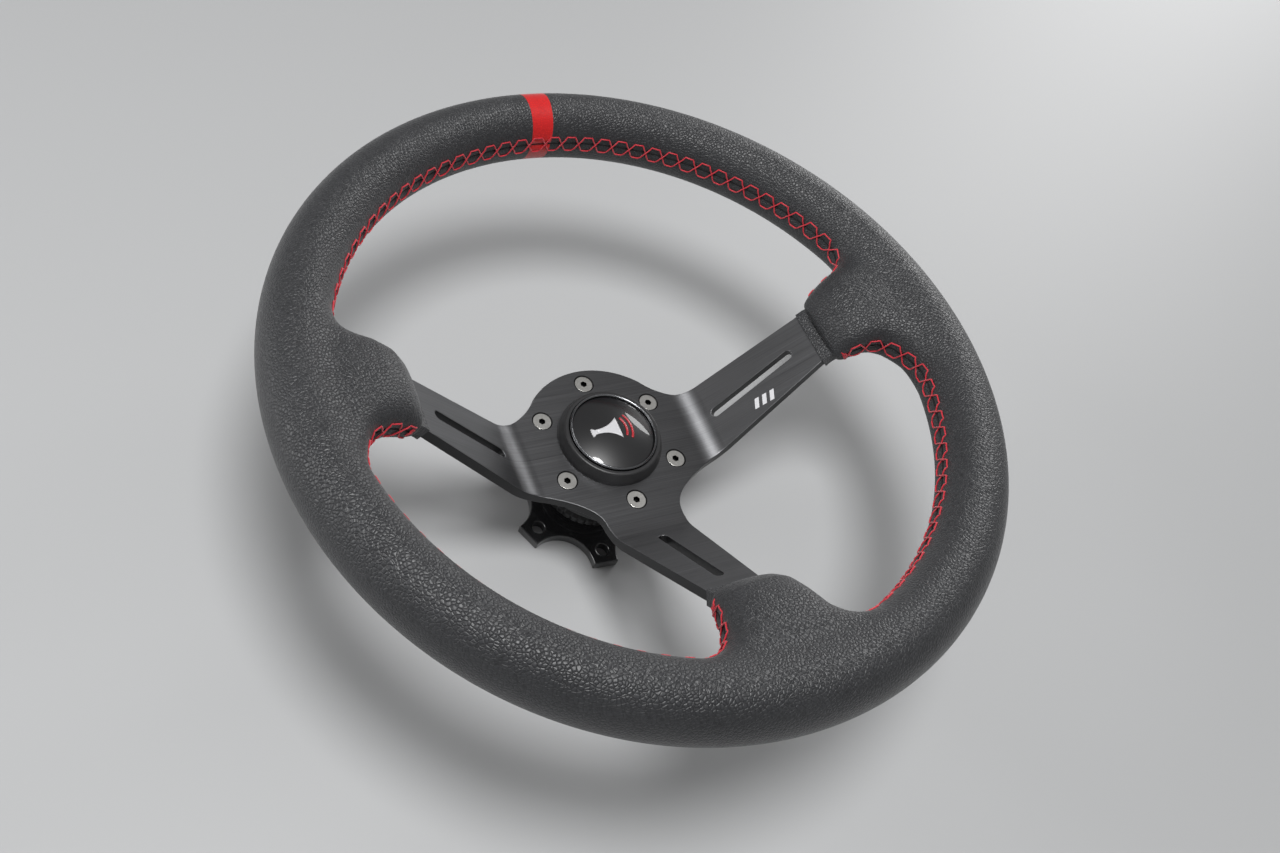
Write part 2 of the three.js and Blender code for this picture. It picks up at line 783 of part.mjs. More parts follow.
function hornCap() {
  return turned([
    [0, capFoot], [capRadius, capFoot], [capRadius, capTop - 0.4],
    [lipRadius - gap, capTop], [0, capTop],
  ]);
}

function hornRing() {
  return turned([
    [emblemRadius + 0.2, capTop + gap], [lipRadius - gap, capTop + gap],
    [lipRadius - gap, bezelTop + 0.6], [emblemRadius + 0.7, bezelTop + 1.2],
    [emblemRadius + 0.2, bezelTop + 0.9],
  ]);
}

function hornEmblem() {
  const foot = capTop + gap;
  const edge = foot + 2.4;
  const top = plateFront + emblemRise;
  const profile = [[0, foot], [emblemRadius - 0.1, foot]];
  for (let i = 0; i <= 4; i++) {
    const t = i / 4;
    profile.push([(emblemRadius - 0.1) * (1 - t), edge + (top - edge) * (1 - (1 - t) ** 2)]);
  }
  return turned(profile, 30);
}

// ---- assembly ----
const wheel = new THREE.Group();
const columnHalf = new THREE.Group();
const releaseHalf = new THREE.Group();
const rim = new THREE.Group();
const horn = new THREE.Group();
wheel.add(columnHalf, releaseHalf, rim, horn);

function put(group, name, solid, material) {
  const mesh = new THREE.Mesh(toGeometry(solid), material);
  mesh.name = name;
  group.add(mesh);
  return mesh;
}

put(columnHalf, 'column_flange', columnFlange(), glossBlack);
put(columnHalf, 'spline_spigot', splineSpigot(), steel);
put(columnHalf, 'contact_insulator', contactInsulator(), plastic);
put(columnHalf, 'contact_terminal', contactTerminal(), brass);
put(columnHalf, 'contact_spring',
  coil(2.7, 0.35, terminalTop, pinShoulderFoot, 6, 3, 7), steel);
put(columnHalf, 'contact_pin', contactPin(), brass);

put(releaseHalf, 'release_body', quickReleaseBody(), satinBlack);
put(releaseHalf, 'release_collar', releaseCollar(), satinBlack);
put(releaseHalf, 'collar_spring',
  coil(barrelRadius + 2.4, springWire, springSeat, bodyFlangeBack, 3.5, 5, 12), steel);
put(releaseHalf, 'retaining_ring', retainingRing(), steel);
put(releaseHalf, 'contact_seat', contactSeat(), plastic);
put(releaseHalf, 'contact_disc', contactDisc(), brass);
for (let i = 0; i < ballCount; i++) {
  const ball = put(releaseHalf, `lock_ball_${i + 1}`,
    toSolid(new THREE.SphereGeometry(ballRadius, 8, 5)), nickel);
  const at = polar(ballRest, ballHeading(i));
  ball.position.set(at.x, at.y, ballLevel);
}

const plateAndCore = [['spoke_plate', spokePlate(), gunmetal]];
let core = ringCore();
for (const spoke of spokes) core = core.subtract(rivetShank(spoke, gap));
plateAndCore.push(['rim_core', core, steel]);
for (const [name, solid, material] of plateAndCore) put(rim, name, solid, material);
for (const spoke of spokes) put(rim, `spoke_rivet_${spoke.name}`, rivet(spoke), steel);
for (const spoke of spokes) put(rim, `spoke_pad_${spoke.name}`, spokePad(spoke), leather);

const spans = {
  upper_right: [headings.right + padHalfSpan, 90 - markHalfSpan],
  upper_left: [90 + markHalfSpan, headings.left - padHalfSpan],
  lower_left: [headings.left + padHalfSpan, headings.bottom - padHalfSpan],
  lower_right: [headings.bottom + padHalfSpan, 360 + headings.right - padHalfSpan],
};
for (const [name, [from, to]] of Object.entries(spans)) {
  put(rim, `grip_${name}`, cover(from, to, 0, -leatherThick), leather);
}
put(rim, 'centre_mark',
  cover(90 - markHalfSpan, 90 + markHalfSpan, 0, -leatherThick), redLeather);

const foamSpans = {
  upper: [spans.upper_right[0], spans.upper_left[1]],
  lower_left: spans.lower_left,
  lower_right: spans.lower_right,
};
for (const [name, [from, to]] of Object.entries(foamSpans)) {
  const inside = -leatherThick - gap;
  put(rim, `rim_foam_${name}`, cover(from, to, inside, 0, coreSides, coreBore), foam);
}
boltHeadings.forEach((heading, i) => {
  put(rim, `wheel_screw_${i + 1}`, wheelScrew(heading), nickel);
});

put(horn, 'horn_bezel', hornBezel(), satinBlack);
put(horn, 'horn_cup', hornCup(), plastic);
put(horn, 'horn_contact_plate', hornContactPlate(), brass);
put(horn, 'horn_spring', coil(8, 0.6, contactTop, capFoot, 2.5, 4, 10), steel);
put(horn, 'horn_stud', hornStud(), brass);
put(horn, 'horn_cap', hornCap(), plastic);
put(horn, 'horn_ring', hornRing(), nickel);
put(horn, 'horn_emblem', hornEmblem(), redGloss);

export default wheel;
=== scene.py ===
import math

import bmesh
import bpy
import numpy as np
from mathutils import Matrix, Vector
from mathutils.bvhtree import BVHTree
from mathutils.kdtree import KDTree


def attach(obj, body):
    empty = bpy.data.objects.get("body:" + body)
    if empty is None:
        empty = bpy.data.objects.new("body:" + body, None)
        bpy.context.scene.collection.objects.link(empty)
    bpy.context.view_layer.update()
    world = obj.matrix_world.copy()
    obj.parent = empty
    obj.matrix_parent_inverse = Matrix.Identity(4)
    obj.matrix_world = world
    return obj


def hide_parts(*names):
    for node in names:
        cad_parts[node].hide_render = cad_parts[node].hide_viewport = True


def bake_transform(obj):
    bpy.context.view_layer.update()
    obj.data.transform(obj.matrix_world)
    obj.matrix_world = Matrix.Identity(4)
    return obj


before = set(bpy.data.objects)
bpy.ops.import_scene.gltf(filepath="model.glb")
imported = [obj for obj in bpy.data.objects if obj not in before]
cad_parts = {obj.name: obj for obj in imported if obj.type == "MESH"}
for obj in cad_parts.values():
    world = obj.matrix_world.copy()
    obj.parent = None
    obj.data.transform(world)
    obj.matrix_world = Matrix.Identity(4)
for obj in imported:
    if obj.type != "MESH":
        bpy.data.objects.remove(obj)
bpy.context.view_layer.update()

mm = 0.001
print("frame loaded")

# Levels along the steering axis, in millimetres from the column flange's rear face.
levels = {"flange": 5.5, "plateBack": 50.0, "plateFront": 55.0, "rim": 119.0}
plateThick = levels["plateFront"] - levels["plateBack"]


def addObject(name, data):
    obj = bpy.data.objects.new(name, data)
    bpy.context.scene.collection.objects.link(obj)
    return obj


def addMesh(name, verts, faces, material=None, smooth=True):
    mesh = bpy.data.meshes.new(name)
    mesh.from_pydata([tuple(v) for v in np.asarray(verts, float) * mm], [], faces)
    mesh.update()
    if smooth:
        mesh.shade_smooth()
    if material:
        mesh.materials.append(material)
    return addObject(name, mesh)


def bezier(start, corner, end, count):
    return [(1 - t) ** 2 * start + 2 * t * (1 - t) * corner + t ** 2 * end for t in np.linspace(0, 1, count)]


def tidyMesh(obj, distance=1e-6):
    bm = bmesh.new()
    bm.from_mesh(obj.data)
    bmesh.ops.remove_doubles(bm, verts=bm.verts, dist=distance)
    bmesh.ops.recalc_face_normals(bm, faces=bm.faces)
    bm.to_mesh(obj.data)
    bm.free()
    obj.data.update()
    return obj


def bakeModifiers(obj):
    bpy.context.view_layer.update()
    graph = bpy.context.evaluated_depsgraph_get()
    mesh = bpy.data.meshes.new_from_object(obj.evaluated_get(graph))
    obj.modifiers.clear()
    obj.data = mesh
    return obj


def weightNormals(obj, angle=35):
    obj.data.shade_smooth()
    obj.data.set_sharp_from_angle(angle=math.radians(angle))
    mod = obj.modifiers.new("weighted", "WEIGHTED_NORMAL")
    mod.keep_sharp = True
    return bakeModifiers(obj)


def cut(obj, cutter, operation="DIFFERENCE"):
    mod = obj.modifiers.new("cut", "BOOLEAN")
    mod.operation = operation
    mod.solver = "EXACT"
    mod.object = cutter
    bakeModifiers(obj)
    bpy.data.objects.remove(cutter)
    return obj


def joined(name, objs):
    bm = bmesh.new()
    for o in objs:
        bm.from_mesh(o.data)
    mesh = bpy.data.meshes.new(name)
    bm.to_mesh(mesh)
    bm.free()
    for slotMaterial in objs[0].data.materials:
        mesh.materials.append(slotMaterial)
    for o in objs:
        bpy.data.objects.remove(o)
    return addObject(name, mesh)


# Profile with its corners rounded; points on the axis stay.
def softened(profile, radius, steps=3, closed=True):
    out = []
    count = len(profile)
    for i, point in enumerate(profile):
        here = np.array(point, float)
        if here[0] < 1e-6 or (not closed and i in (0, count - 1)):
            out.append(here)
            continue
        before = np.array(profile[i - 1], float) - here
        after = np.array(profile[(i + 1) % count], float) - here
        reach = min(radius, np.linalg.norm(before) * 0.45, np.linalg.norm(after) * 0.45)
        first = here + before / np.linalg.norm(before) * reach
        last = here + after / np.linalg.norm(after) * reach
        out += bezier(first, here, last, steps + 1)
    return [tuple(p) for p in out]


# Solid turned about Z from closed (radius, level) points.
def turned(name, profile, material, segments=96, radius=0.25, centre=(0, 0), wave=None):
    points = softened(profile, radius) if radius else profile
    verts, faces = [], []
    for i in range(segments):
        angle = 2 * math.pi * i / segments
        for r, z in points:
            grown = r + (wave(angle, r, z) if wave else 0)
            verts.append((centre[0] + grown * math.cos(angle), centre[1] + grown * math.sin(angle), z))
    count = len(points)
    onAxis = profile[0][0] < 1e-6 and profile[-1][0] < 1e-6
    for i in range(segments):
        j = (i + 1) % segments
        for k in range(count - 1 if onAxis else count):
            m = (k + 1) % count
            faces.append((i * count + k, j * count + k, j * count + m, i * count + m))
    return tidyMesh(addMesh(name, verts, faces, material), 1e-7)


def loftMesh(rings):
    count = len(rings[0])
    verts = [p for ring in rings for p in ring]
    faces = []
    for i in range(len(rings) - 1):
        for j in range(count):
            k = (j + 1) % count
            faces.append((i * count + j, i * count + k, (i + 1) * count + k, (i + 1) * count + j))
    faces.append(tuple(range(count))[::-1])
    last = (len(rings) - 1) * count
    faces.append(tuple(range(last, last + count)))
    return verts, faces


# Tube along a row of points, with closed ends.
def tube(name, path, radius, material, sides=10):
    path = np.asarray(path, float)
    tangents = np.gradient(path, axis=0)
    tangents /= np.linalg.norm(tangents, axis=1)[:, None]
    side = np.cross(tangents[0], (0, 0, 1) if abs(tangents[0][2]) < 0.9 else (1, 0, 0))
    rings = []
    for point, tangent in zip(path, tangents):
        side = side - tangent * np.dot(side, tangent)
        side /= np.linalg.norm(side)
        other = np.cross(tangent, side)
        angles = 2 * np.pi * np.arange(sides) / sides
        rings.append(point + radius * (np.outer(np.cos(angles), side) + np.outer(np.sin(angles), other)))
    verts, faces = loftMesh(rings)
    return tidyMesh(addMesh(name, verts, faces, material), 1e-8)


# Plate from closed outlines (the first is the outside), with rounded edges.
def flatPlate(name, loops, thick, level, material, bevel=0.35):
    curve = bpy.data.curves.new(name, "CURVE")
    curve.dimensions = "2D"
    curve.fill_mode = "BOTH"
    for loop in loops:
        spline = curve.splines.new("POLY")
        spline.points.add(len(loop) - 1)
        for point, (x, y) in zip(spline.points, loop):
            point.co = (x * mm, y * mm, 0, 1)
        spline.use_cyclic_u = True
    curve.bevel_depth = bevel * mm
    curve.bevel_resolution = 2
    curve.extrude = (thick / 2 - bevel) * mm
    curve.offset = -bevel * mm
    temp = addObject(name, curve)
    bpy.context.view_layer.update()
    graph = bpy.context.evaluated_depsgraph_get()
    mesh = bpy.data.meshes.new_from_object(temp.evaluated_get(graph))
    bpy.data.objects.remove(temp)
    mesh.transform(Matrix.Translation((0, 0, (level + thick / 2) * mm)))
    mesh.materials.clear()
    mesh.materials.append(material)
    return tidyMesh(addObject(name, mesh), 2e-6)


def circle(radius, count=48, centre=(0, 0)):
    angles = 2 * np.pi * np.arange(count) / count
    return [(centre[0] + radius * math.cos(a), centre[1] + radius * math.sin(a)) for a in angles]


def polar(radius, degrees):
    return radius * math.cos(math.radians(degrees)), radius * math.sin(math.radians(degrees))


def nodeGroup(name, inputs, outputs):
    tree = bpy.data.node_groups.new(name, "ShaderNodeTree")
    for label, kind, value in inputs:
        socket = tree.interface.new_socket(label, in_out="INPUT", socket_type=kind)
        if value is not None:
            socket.default_value = value
    for label, kind in outputs:
        tree.interface.new_socket(label, in_out="OUTPUT", socket_type=kind)
    return tree, tree.nodes.new("NodeGroupInput"), tree.nodes.new("NodeGroupOutput")


def node(tree, kind, inputs=None, **settings):
    made = tree.nodes.new(kind)
    for key, value in settings.items():
        setattr(made, key, value)
    for key, value in (inputs or {}).items():
        if isinstance(value, bpy.types.NodeSocket):
            tree.links.new(value, made.inputs[key])
        else:
            made.inputs[key].default_value = value
    return made


def noise(tree, where, scale, detail, **more):
    return node(tree, "ShaderNodeTexNoise", {"Vector": where, "Scale": scale, "Detail": detail, **more})


def bumpInto(tree, shader, height, distance, strength):
    bump = node(tree, "ShaderNodeBump", {"Height": height, "Distance": distance, "Strength": strength})
    tree.links.new(bump.outputs[0], shader.inputs["Normal"])


def mathNode(tree, operation, first, second=0.0, third=None, clamp=False):
    inputs = {0: first, 1: second}
    if third is not None:
        inputs[2] = third
    return node(tree, "ShaderNodeMath", inputs, operation=operation, use_clamp=clamp).outputs[0]


def grainGroup():
    tree, start, end = nodeGroup(
        "pebbleGrain",
        [("Vector", "NodeSocketVector", None), ("Scale", "NodeSocketFloat", 700.0)],
        [("Height", "NodeSocketFloat"), ("Crease", "NodeSocketFloat")],
    )
    where = start.outputs["Vector"]
    warp = noise(tree, where, 260.0, 2.0).outputs["Color"]
    shift = node(tree, "ShaderNodeVectorMath", {0: warp, 1: (0.0009, 0.0009, 0.0009)}, operation="MULTIPLY")
    moved = node(tree, "ShaderNodeVectorMath", {0: where, 1: shift.outputs[0]}, operation="ADD")
    cells = node(
        tree, "ShaderNodeTexVoronoi",
        {"Vector": moved.outputs[0], "Scale": start.outputs["Scale"], "Randomness": 0.9},
        feature="DISTANCE_TO_EDGE",
    )
    dome = mathNode(tree, "MULTIPLY", cells.outputs["Distance"], 3.4, clamp=True)
    dome = mathNode(tree, "POWER", dome, 0.55)
    fine = noise(tree, where, 3200.0, 2.0)
    height = mathNode(tree, "MULTIPLY_ADD", fine.outputs["Fac"], 0.05, dome)
    tree.links.new(height, end.inputs["Height"])
    # The crease output marks the hollows between pebbles; the leather paints them darker as painted shade.
    tree.links.new(mathNode(tree, "SUBTRACT", 1.0, dome), end.inputs["Crease"])
    return tree


def brushGroup():
    tree, start, end = nodeGroup(
        "brushedLines",
        [("Vector", "NodeSocketVector", None)],
        [("Lines", "NodeSocketFloat"), ("Bands", "NodeSocketFloat")],
    )
    long = node(tree, "ShaderNodeMapping", {"Vector": start.outputs["Vector"], "Scale": (14.0, 3800.0, 14.0)})
    lines = noise(tree, long.outputs[0], 1.0, 3.0, Roughness=0.7)
    wide = node(tree, "ShaderNodeMapping", {"Vector": start.outputs["Vector"], "Scale": (5.0, 520.0, 5.0)})
    bands = noise(tree, wide.outputs[0], 1.0, 2.0)
    tree.links.new(lines.outputs["Fac"], end.inputs["Lines"])
    tree.links.new(bands.outputs["Fac"], end.inputs["Bands"])
    return tree


def dustGroup():
    tree, start, end = nodeGroup(
        "fineDust",
        [("Vector", "NodeSocketVector", None), ("Amount", "NodeSocketFloat", 0.3)],
        [("Mask", "NodeSocketFloat")],
    )
    cloud = noise(tree, start.outputs["Vector"], 38.0, 5.0, Roughness=0.65)
    specks = noise(tree, start.outputs["Vector"], 1900.0, 1.0)
    soft = mathNode(tree, "MULTIPLY", cloud.outputs["Fac"], specks.outputs["Fac"])
    tree.links.new(mathNode(tree, "MULTIPLY", soft, start.outputs["Amount"], clamp=True), end.inputs["Mask"])
    return tree


grain = grainGroup()
brush = brushGroup()
dust = dustGroup()


def material(name, base, roughness, metallic=0.0, coat=0.0, specular=0.5):
    made = bpy.data.materials.new(name)
    made.use_nodes = True
    shader = made.node_tree.nodes["Principled BSDF"]
    shader.inputs["Base Color"].default_value = (*base, 1)
    shader.inputs["Roughness"].default_value = roughness
    shader.inputs["Metallic"].default_value = metallic
    shader.inputs["Coat Weight"].default_value = coat
    shader.inputs["Coat Roughness"].default_value = 0.05
    shader.inputs["Specular IOR Level"].default_value = specular
    made.diffuse_color = (*base, 1)
    return made, made.node_tree, shader


def objectCoords(tree):
    return node(tree, "ShaderNodeTexCoord").outputs["Object"]


def groupNode(tree, group, inputs):
    return node(tree, "ShaderNodeGroup", inputs, node_tree=group)


def tint(tree, factor, dark, light):
    mix = node(tree, "ShaderNodeMix", data_type="RGBA")
    tree.links.new(factor, mix.inputs["Factor"])
    mix.inputs[6].default_value = (*dark, 1)
    mix.inputs[7].default_value = (*light, 1)
    return mix.outputs[2]


def spread(tree, factor, low, high):
    return node(tree, "ShaderNodeMapRange", {"Value": factor, "To Min": low, "To Max": high}).outputs[0]


# The dark colour is painted into the grain's creases as shade; light is the leather's own colour.
leatherLook = {
    "light": (0.030, 0.031, 0.034),
    "dark": (0.009, 0.009, 0.010),
    "roughness": (0.34, 0.48),
    "grainScale": 640.0,
    "grainDepth": 0.0002,
}
markLook = {
    "light": (0.62, 0.012, 0.012),
    "dark": (0.36, 0.006, 0.008),
    "roughness": (0.26, 0.40),
    "grainScale": 900.0,
    "grainDepth": 0.00003,
}


def leatherMaterial(name, look):
    made, tree, shader = material(name, look["light"], 0.5)
    where = objectCoords(tree)
    pebbles = groupNode(tree, grain, {"Vector": where, "Scale": look["grainScale"]})
    patches = noise(tree, where, 45.0, 4.0)
    # Base colour darkens in the grain's creases: painted shade, over the bump's own shading.
    paintedCreaseShade = mathNode(tree, "MULTIPLY", pebbles.outputs["Crease"], 0.75, clamp=True)
    base = tint(tree, paintedCreaseShade, look["light"], look["dark"])
    value = spread(tree, patches.outputs["Fac"], 0.82, 1.16)
    shade = node(tree, "ShaderNodeHueSaturation", {"Color": base, "Value": value})
    tree.links.new(shade.outputs[0], shader.inputs["Base Color"])
    tree.links.new(spread(tree, patches.outputs["Fac"], *look["roughness"]), shader.inputs["Roughness"])
    bumpInto(tree, shader, pebbles.outputs["Height"], look["grainDepth"], 1.0)
    shader.inputs["Sheen Weight"].default_value = 0.08
    shader.inputs["Sheen Roughness"].default_value = 0.4
    return made


gripLeather = leatherMaterial("gripLeather", leatherLook)
markLeather = leatherMaterial("markLeather", markLook)

seamDark, _, _ = material("seamDark", (0.006, 0.006, 0.007), 0.9)


def threadMaterial():
    made, tree, shader = material("redThread", (0.55, 0.006, 0.02), 0.5)
    fibres = noise(tree, objectCoords(tree), 2600.0, 3.0).outputs["Fac"]
    colour = tint(tree, fibres, (0.34, 0.002, 0.012), (0.72, 0.012, 0.035))
    tree.links.new(colour, shader.inputs["Base Color"])
    bumpInto(tree, shader, fibres, 0.00012, 0.8)
    shader.inputs["Sheen Weight"].default_value = 0.3
    return made


redThread = threadMaterial()


def brushedMaterial():
    made, tree, shader = material("brushedSpokes", (0.10, 0.103, 0.11), 0.34, 1.0)
    strokes = groupNode(tree, brush, {"Vector": objectCoords(tree)})
    lines = strokes.outputs["Lines"]
    tree.links.new(tint(tree, lines, (0.07, 0.071, 0.075), (0.29, 0.292, 0.30)), shader.inputs["Base Color"])
    halfLines = mathNode(tree, "MULTIPLY", lines, 0.5)
    both = mathNode(tree, "MULTIPLY_ADD", strokes.outputs["Bands"], 0.5, halfLines)
    tree.links.new(spread(tree, both, 0.30, 0.55), shader.inputs["Roughness"])
    bumpInto(tree, shader, lines, 0.00004, 0.7)
    shader.inputs["Anisotropic"].default_value = 0.75
    acrossLines = node(tree, "ShaderNodeCombineXYZ", {"Y": 1.0})
    tree.links.new(acrossLines.outputs[0], shader.inputs["Tangent"])
    return made


dustLook = {"share": 0.25, "paler": 0.10, "rougher": 0.35}


def dustyMaterial(name, base, roughness, metallic, coat=0.0, bumpDepth=0.00002, bumpScale=1600.0):
    made, tree, shader = material(name, base, roughness, metallic, coat)
    where = objectCoords(tree)
    veil = groupNode(tree, dust, {"Vector": where, "Amount": dustLook["share"]}).outputs["Mask"]
    pale = tuple(min(1.0, c + dustLook["paler"]) for c in base)
    tree.links.new(tint(tree, veil, base, pale), shader.inputs["Base Color"])
    dull = min(1.0, roughness + dustLook["rougher"])
    tree.links.new(spread(tree, veil, roughness, dull), shader.inputs["Roughness"])
    bumpInto(tree, shader, noise(tree, where, bumpScale, 2.0).outputs["Fac"], bumpDepth, 0.5)
    return made


brushedSpokes = brushedMaterial()
glossBlack = dustyMaterial("glossBlackMetal", (0.012, 0.012, 0.013), 0.14, 0.0, coat=0.8)
satinBlack = dustyMaterial(
    "satinBlackMetal", (0.018, 0.018, 0.019), 0.36, 0.6, bumpDepth=0.00003, bumpScale=2600.0)
brightSteel = dustyMaterial("brightSteel", (0.52, 0.53, 0.55), 0.26, 1.0)
nickel = dustyMaterial("nickelScrews", (0.60, 0.59, 0.57), 0.22, 1.0)


def screwMaterial():
    made, tree, shader = material("screwNickel", (0.60, 0.59, 0.57), 0.22, 1.0)
    # Vertices marked inside the hex socket take a near-black colour: painted shade in the recess.
    deep = node(tree, "ShaderNodeAttribute", attribute_name="deep")
    wear = noise(tree, objectCoords(tree), 900.0, 3.0).outputs["Fac"]
    face = tint(tree, wear, (0.66, 0.65, 0.62), (0.74, 0.73, 0.70))
    mix = node(tree, "ShaderNodeMix", data_type="RGBA")
    tree.links.new(deep.outputs["Fac"], mix.inputs["Factor"])
    tree.links.new(face, mix.inputs[6])
    mix.inputs[7].default_value = (0.02, 0.02, 0.02, 1)
    tree.links.new(mix.outputs[2], shader.inputs["Base Color"])
    tree.links.new(spread(tree, wear, 0.28, 0.38), shader.inputs["Roughness"])
    return made


screwNickel = screwMaterial()
darkRing = dustyMaterial("darkRing", (0.22, 0.225, 0.235), 0.2, 1.0)
brassMetal = dustyMaterial("brassMetal", (0.66, 0.47, 0.20), 0.3, 1.0)
blackPlastic = dustyMaterial(
    "blackPlastic", (0.014, 0.014, 0.015), 0.38, 0.0, bumpDepth=0.00004, bumpScale=2200.0)
rimFoam = dustyMaterial("rimFoam", (0.02, 0.02, 0.021), 0.9, 0.0, bumpDepth=0.0001, bumpScale=900.0)
domeBlack, _, domeShader = material("domeBlack", (0.004, 0.004, 0.005), 0.35, 0.0, coat=1.0)
domeShader.inputs["Coat Roughness"].default_value = 0.03
printWhite, _, _ = material("printWhite", (0.62, 0.62, 0.64), 0.35, 0.0, coat=1.0)
printRed, _, _ = material("printRed", (0.45, 0.01, 0.02), 0.35, 0.0, coat=1.0)
engraved, _, _ = material("engravedMark", (0.72, 0.72, 0.74), 0.4, 0.3)
print("materials ready")


plate = {
    "hubRadius": 43.2,
    "bendOffset": 51.5,
    "rise": 0.86,
    "bendRadius": 21.0,
    "flatTo": 43.5,  # the blank stays flat this far from the axis
    "endLevel": levels["rim"] - 6.3,
    "reach": 162.0,
    "padEdge": 105.5,
    "slotWidth": 4.7,
    "sideSlot": ((58.2, -0.3), (96.5, 8.4)),
    "bottomSlot": ((59.0, 0.0), (97.5, 0.0)),
    "hornHole": 25.0,
    "boltCircle": 70.0,
    "boltHole": 2.9,
    "sinkRadius": 5.25,
    "sinkDepth": 2.9,
    "edgeRound": 0.4,
    "hubBlend": 10.0,
}
boltRadius = plate["boltCircle"] / 2
boltHeadings = [90 - 60 * i for i in range(6)]


# Front face of a spoke in its own plane: developed length, distance out, level, normal.
def spokeProfile():
    slope = math.atan(plate["rise"])
    crest = plate["bendOffset"] + (plate["endLevel"] - levels["plateFront"]) / plate["rise"]
    inner = plate["bendRadius"]
    outer = inner + plateThick
    points = [(0.0, levels["plateFront"], 0.0)]
    for angle in np.linspace(0, slope, 15):
        x = plate["bendOffset"] - inner * math.tan(slope / 2) + inner * math.sin(angle)
        points.append((x, levels["plateFront"] + inner * (1 - math.cos(angle)), angle))
    for angle in np.linspace(slope, 0, 15):
        x = crest + outer * math.tan(slope / 2) - outer * math.sin(angle)
        points.append((x, plate["endLevel"] - outer * (1 - math.cos(angle)), angle))
    points.append((plate["reach"] + 5, plate["endLevel"], 0.0))
    x, z, angle = np.array(points).T
    length = np.concatenate([[0], np.cumsum(np.hypot(np.diff(x), np.diff(z)))])
    return length, x, z, angle


pathLength, pathX, pathZ, pathAngle = spokeProfile()


def developed(x):
    return float(np.interp(x, pathX, pathLength))


def square(value):
    return max(0.0, value) ** 2


def sideEdges(x):
    widening = min(x, plate["padEdge"] + 2.5)
    foot = 0.0022 * square(x - 112)
    low = -18.9 + 0.32 * (widening - 60) - 0.035 * square(40 - x) - foot
    high = 18.5 + 0.125 * (widening - 57.5) + 0.0156 * square(57 - x) + foot
    return low, high


def bottomHalf(x):
    return 19.4 - 0.118 * (x - 55) + 0.055 * square(44 - x) + 0.0022 * square(x - 112)


def crossing(first, second):
    for i in range(len(first) - 1):
        for j in range(len(second) - 1):
            p, r = np.array(first[i]), np.subtract(first[i + 1], first[i])
            q, s = np.array(second[j]), np.subtract(second[j + 1], second[j])
            across = r[0] * s[1] - r[1] * s[0]
            if abs(across) < 1e-12:
                continue
            gap = q - p
            t = (gap[0] * s[1] - gap[1] * s[0]) / across
            u = (gap[0] * r[1] - gap[1] * r[0]) / across
            if 0 <= t <= 1 and 0 <= u <= 1:
                return i, j, tuple(p + t * r)
    raise ValueError("the spoke edges don't cross")


# Replaces the corner at one point with a curve that starts and ends at the given reach.
def blendCorner(points, index, reach):
    corner = np.array(points[index])
    first = max(i for i in range(index) if np.linalg.norm(corner - points[i]) > reach)
    last = min(i for i in range(index, len(points)) if np.linalg.norm(corner - points[i]) > reach)
    start, end = np.array(points[first]), np.array(points[last])
    curve = [tuple(p) for p in bezier(start, corner, end, 14)]
    return points[:first] + curve + points[last + 1:]


# Outline of the flat blank, before the spokes are bent.
def plateOutline():
    steps = np.concatenate([np.arange(20, 60, 1.0), np.arange(60, 163, 3.0), [plate["reach"]]])
    lower = [(x, sideEdges(x)[0]) for x in steps[::-1]]
    upper = [(x, sideEdges(x)[1]) for x in steps]
    bottom = [(bottomHalf(x), -x) for x in steps]
    i, j, meet = crossing(lower, bottom)
    corner = [(x, y) for x, y in lower[: i + 1]] + [meet] + bottom[j + 1:]
    arc = [polar(plate["hubRadius"], a) for a in np.arange(89.5, 0, -1.0)]
    k, m, top = crossing(arc, upper)
    crown = blendCorner(arc[: k + 1] + [top] + upper[m + 1:], k + 1, plate["hubBlend"])
    flat = plate["flatTo"]
    right = [(developed(x) if x > flat else x, y) for x, y in crown]
    for x, y in corner:
        right.append((developed(x) if x > flat else x, -developed(-y) if y < -flat else y))
    left = [(-x, y) for x, y in right[::-1]]
    return right + left


def slotLoop(ends, turn=0, mirror=False):
    (x0, y0), (x1, y1) = ends
    x0, x1 = developed(x0), developed(x1)
    half = plate["slotWidth"] / 2
    tilt = math.atan2(y1 - y0, x1 - x0)
    unit = np.array([math.cos(tilt), math.sin(tilt)])
    loop = []
    outerEnd = (np.array([x1, y1]) - unit * half, tilt - math.pi / 2)
    innerEnd = (np.array([x0, y0]) + unit * half, tilt + math.pi / 2)
    for end, start in (outerEnd, innerEnd):
        for a in np.linspace(start, start + math.pi, 13):
            loop.append(end + half * np.array([math.cos(a), math.sin(a)]))
    if mirror:
        loop = [(-x, y) for x, y in loop]
    if turn:
        loop = [(y, -x) for x, y in loop]
    return [tuple(p) for p in loop]


# Place of a point of the flat blank once the spokes are bent up.
def bendPoint(x, y, depth):
    if abs(x) > plate["flatTo"]:
        out, turn = abs(x), "side"
    elif -y > plate["flatTo"]:
        out, turn = -y, "bottom"
    else:
        return x, y, levels["plateFront"] - depth
    px = np.interp(out, pathLength, pathX)
    pz = np.interp(out, pathLength, pathZ)
    angle = np.interp(out, pathLength, pathAngle)
    reach = px + depth * math.sin(angle)
    z = pz - depth * math.cos(angle)
    if turn == "side":
        return math.copysign(reach, x), y, z
    return x, -reach, z


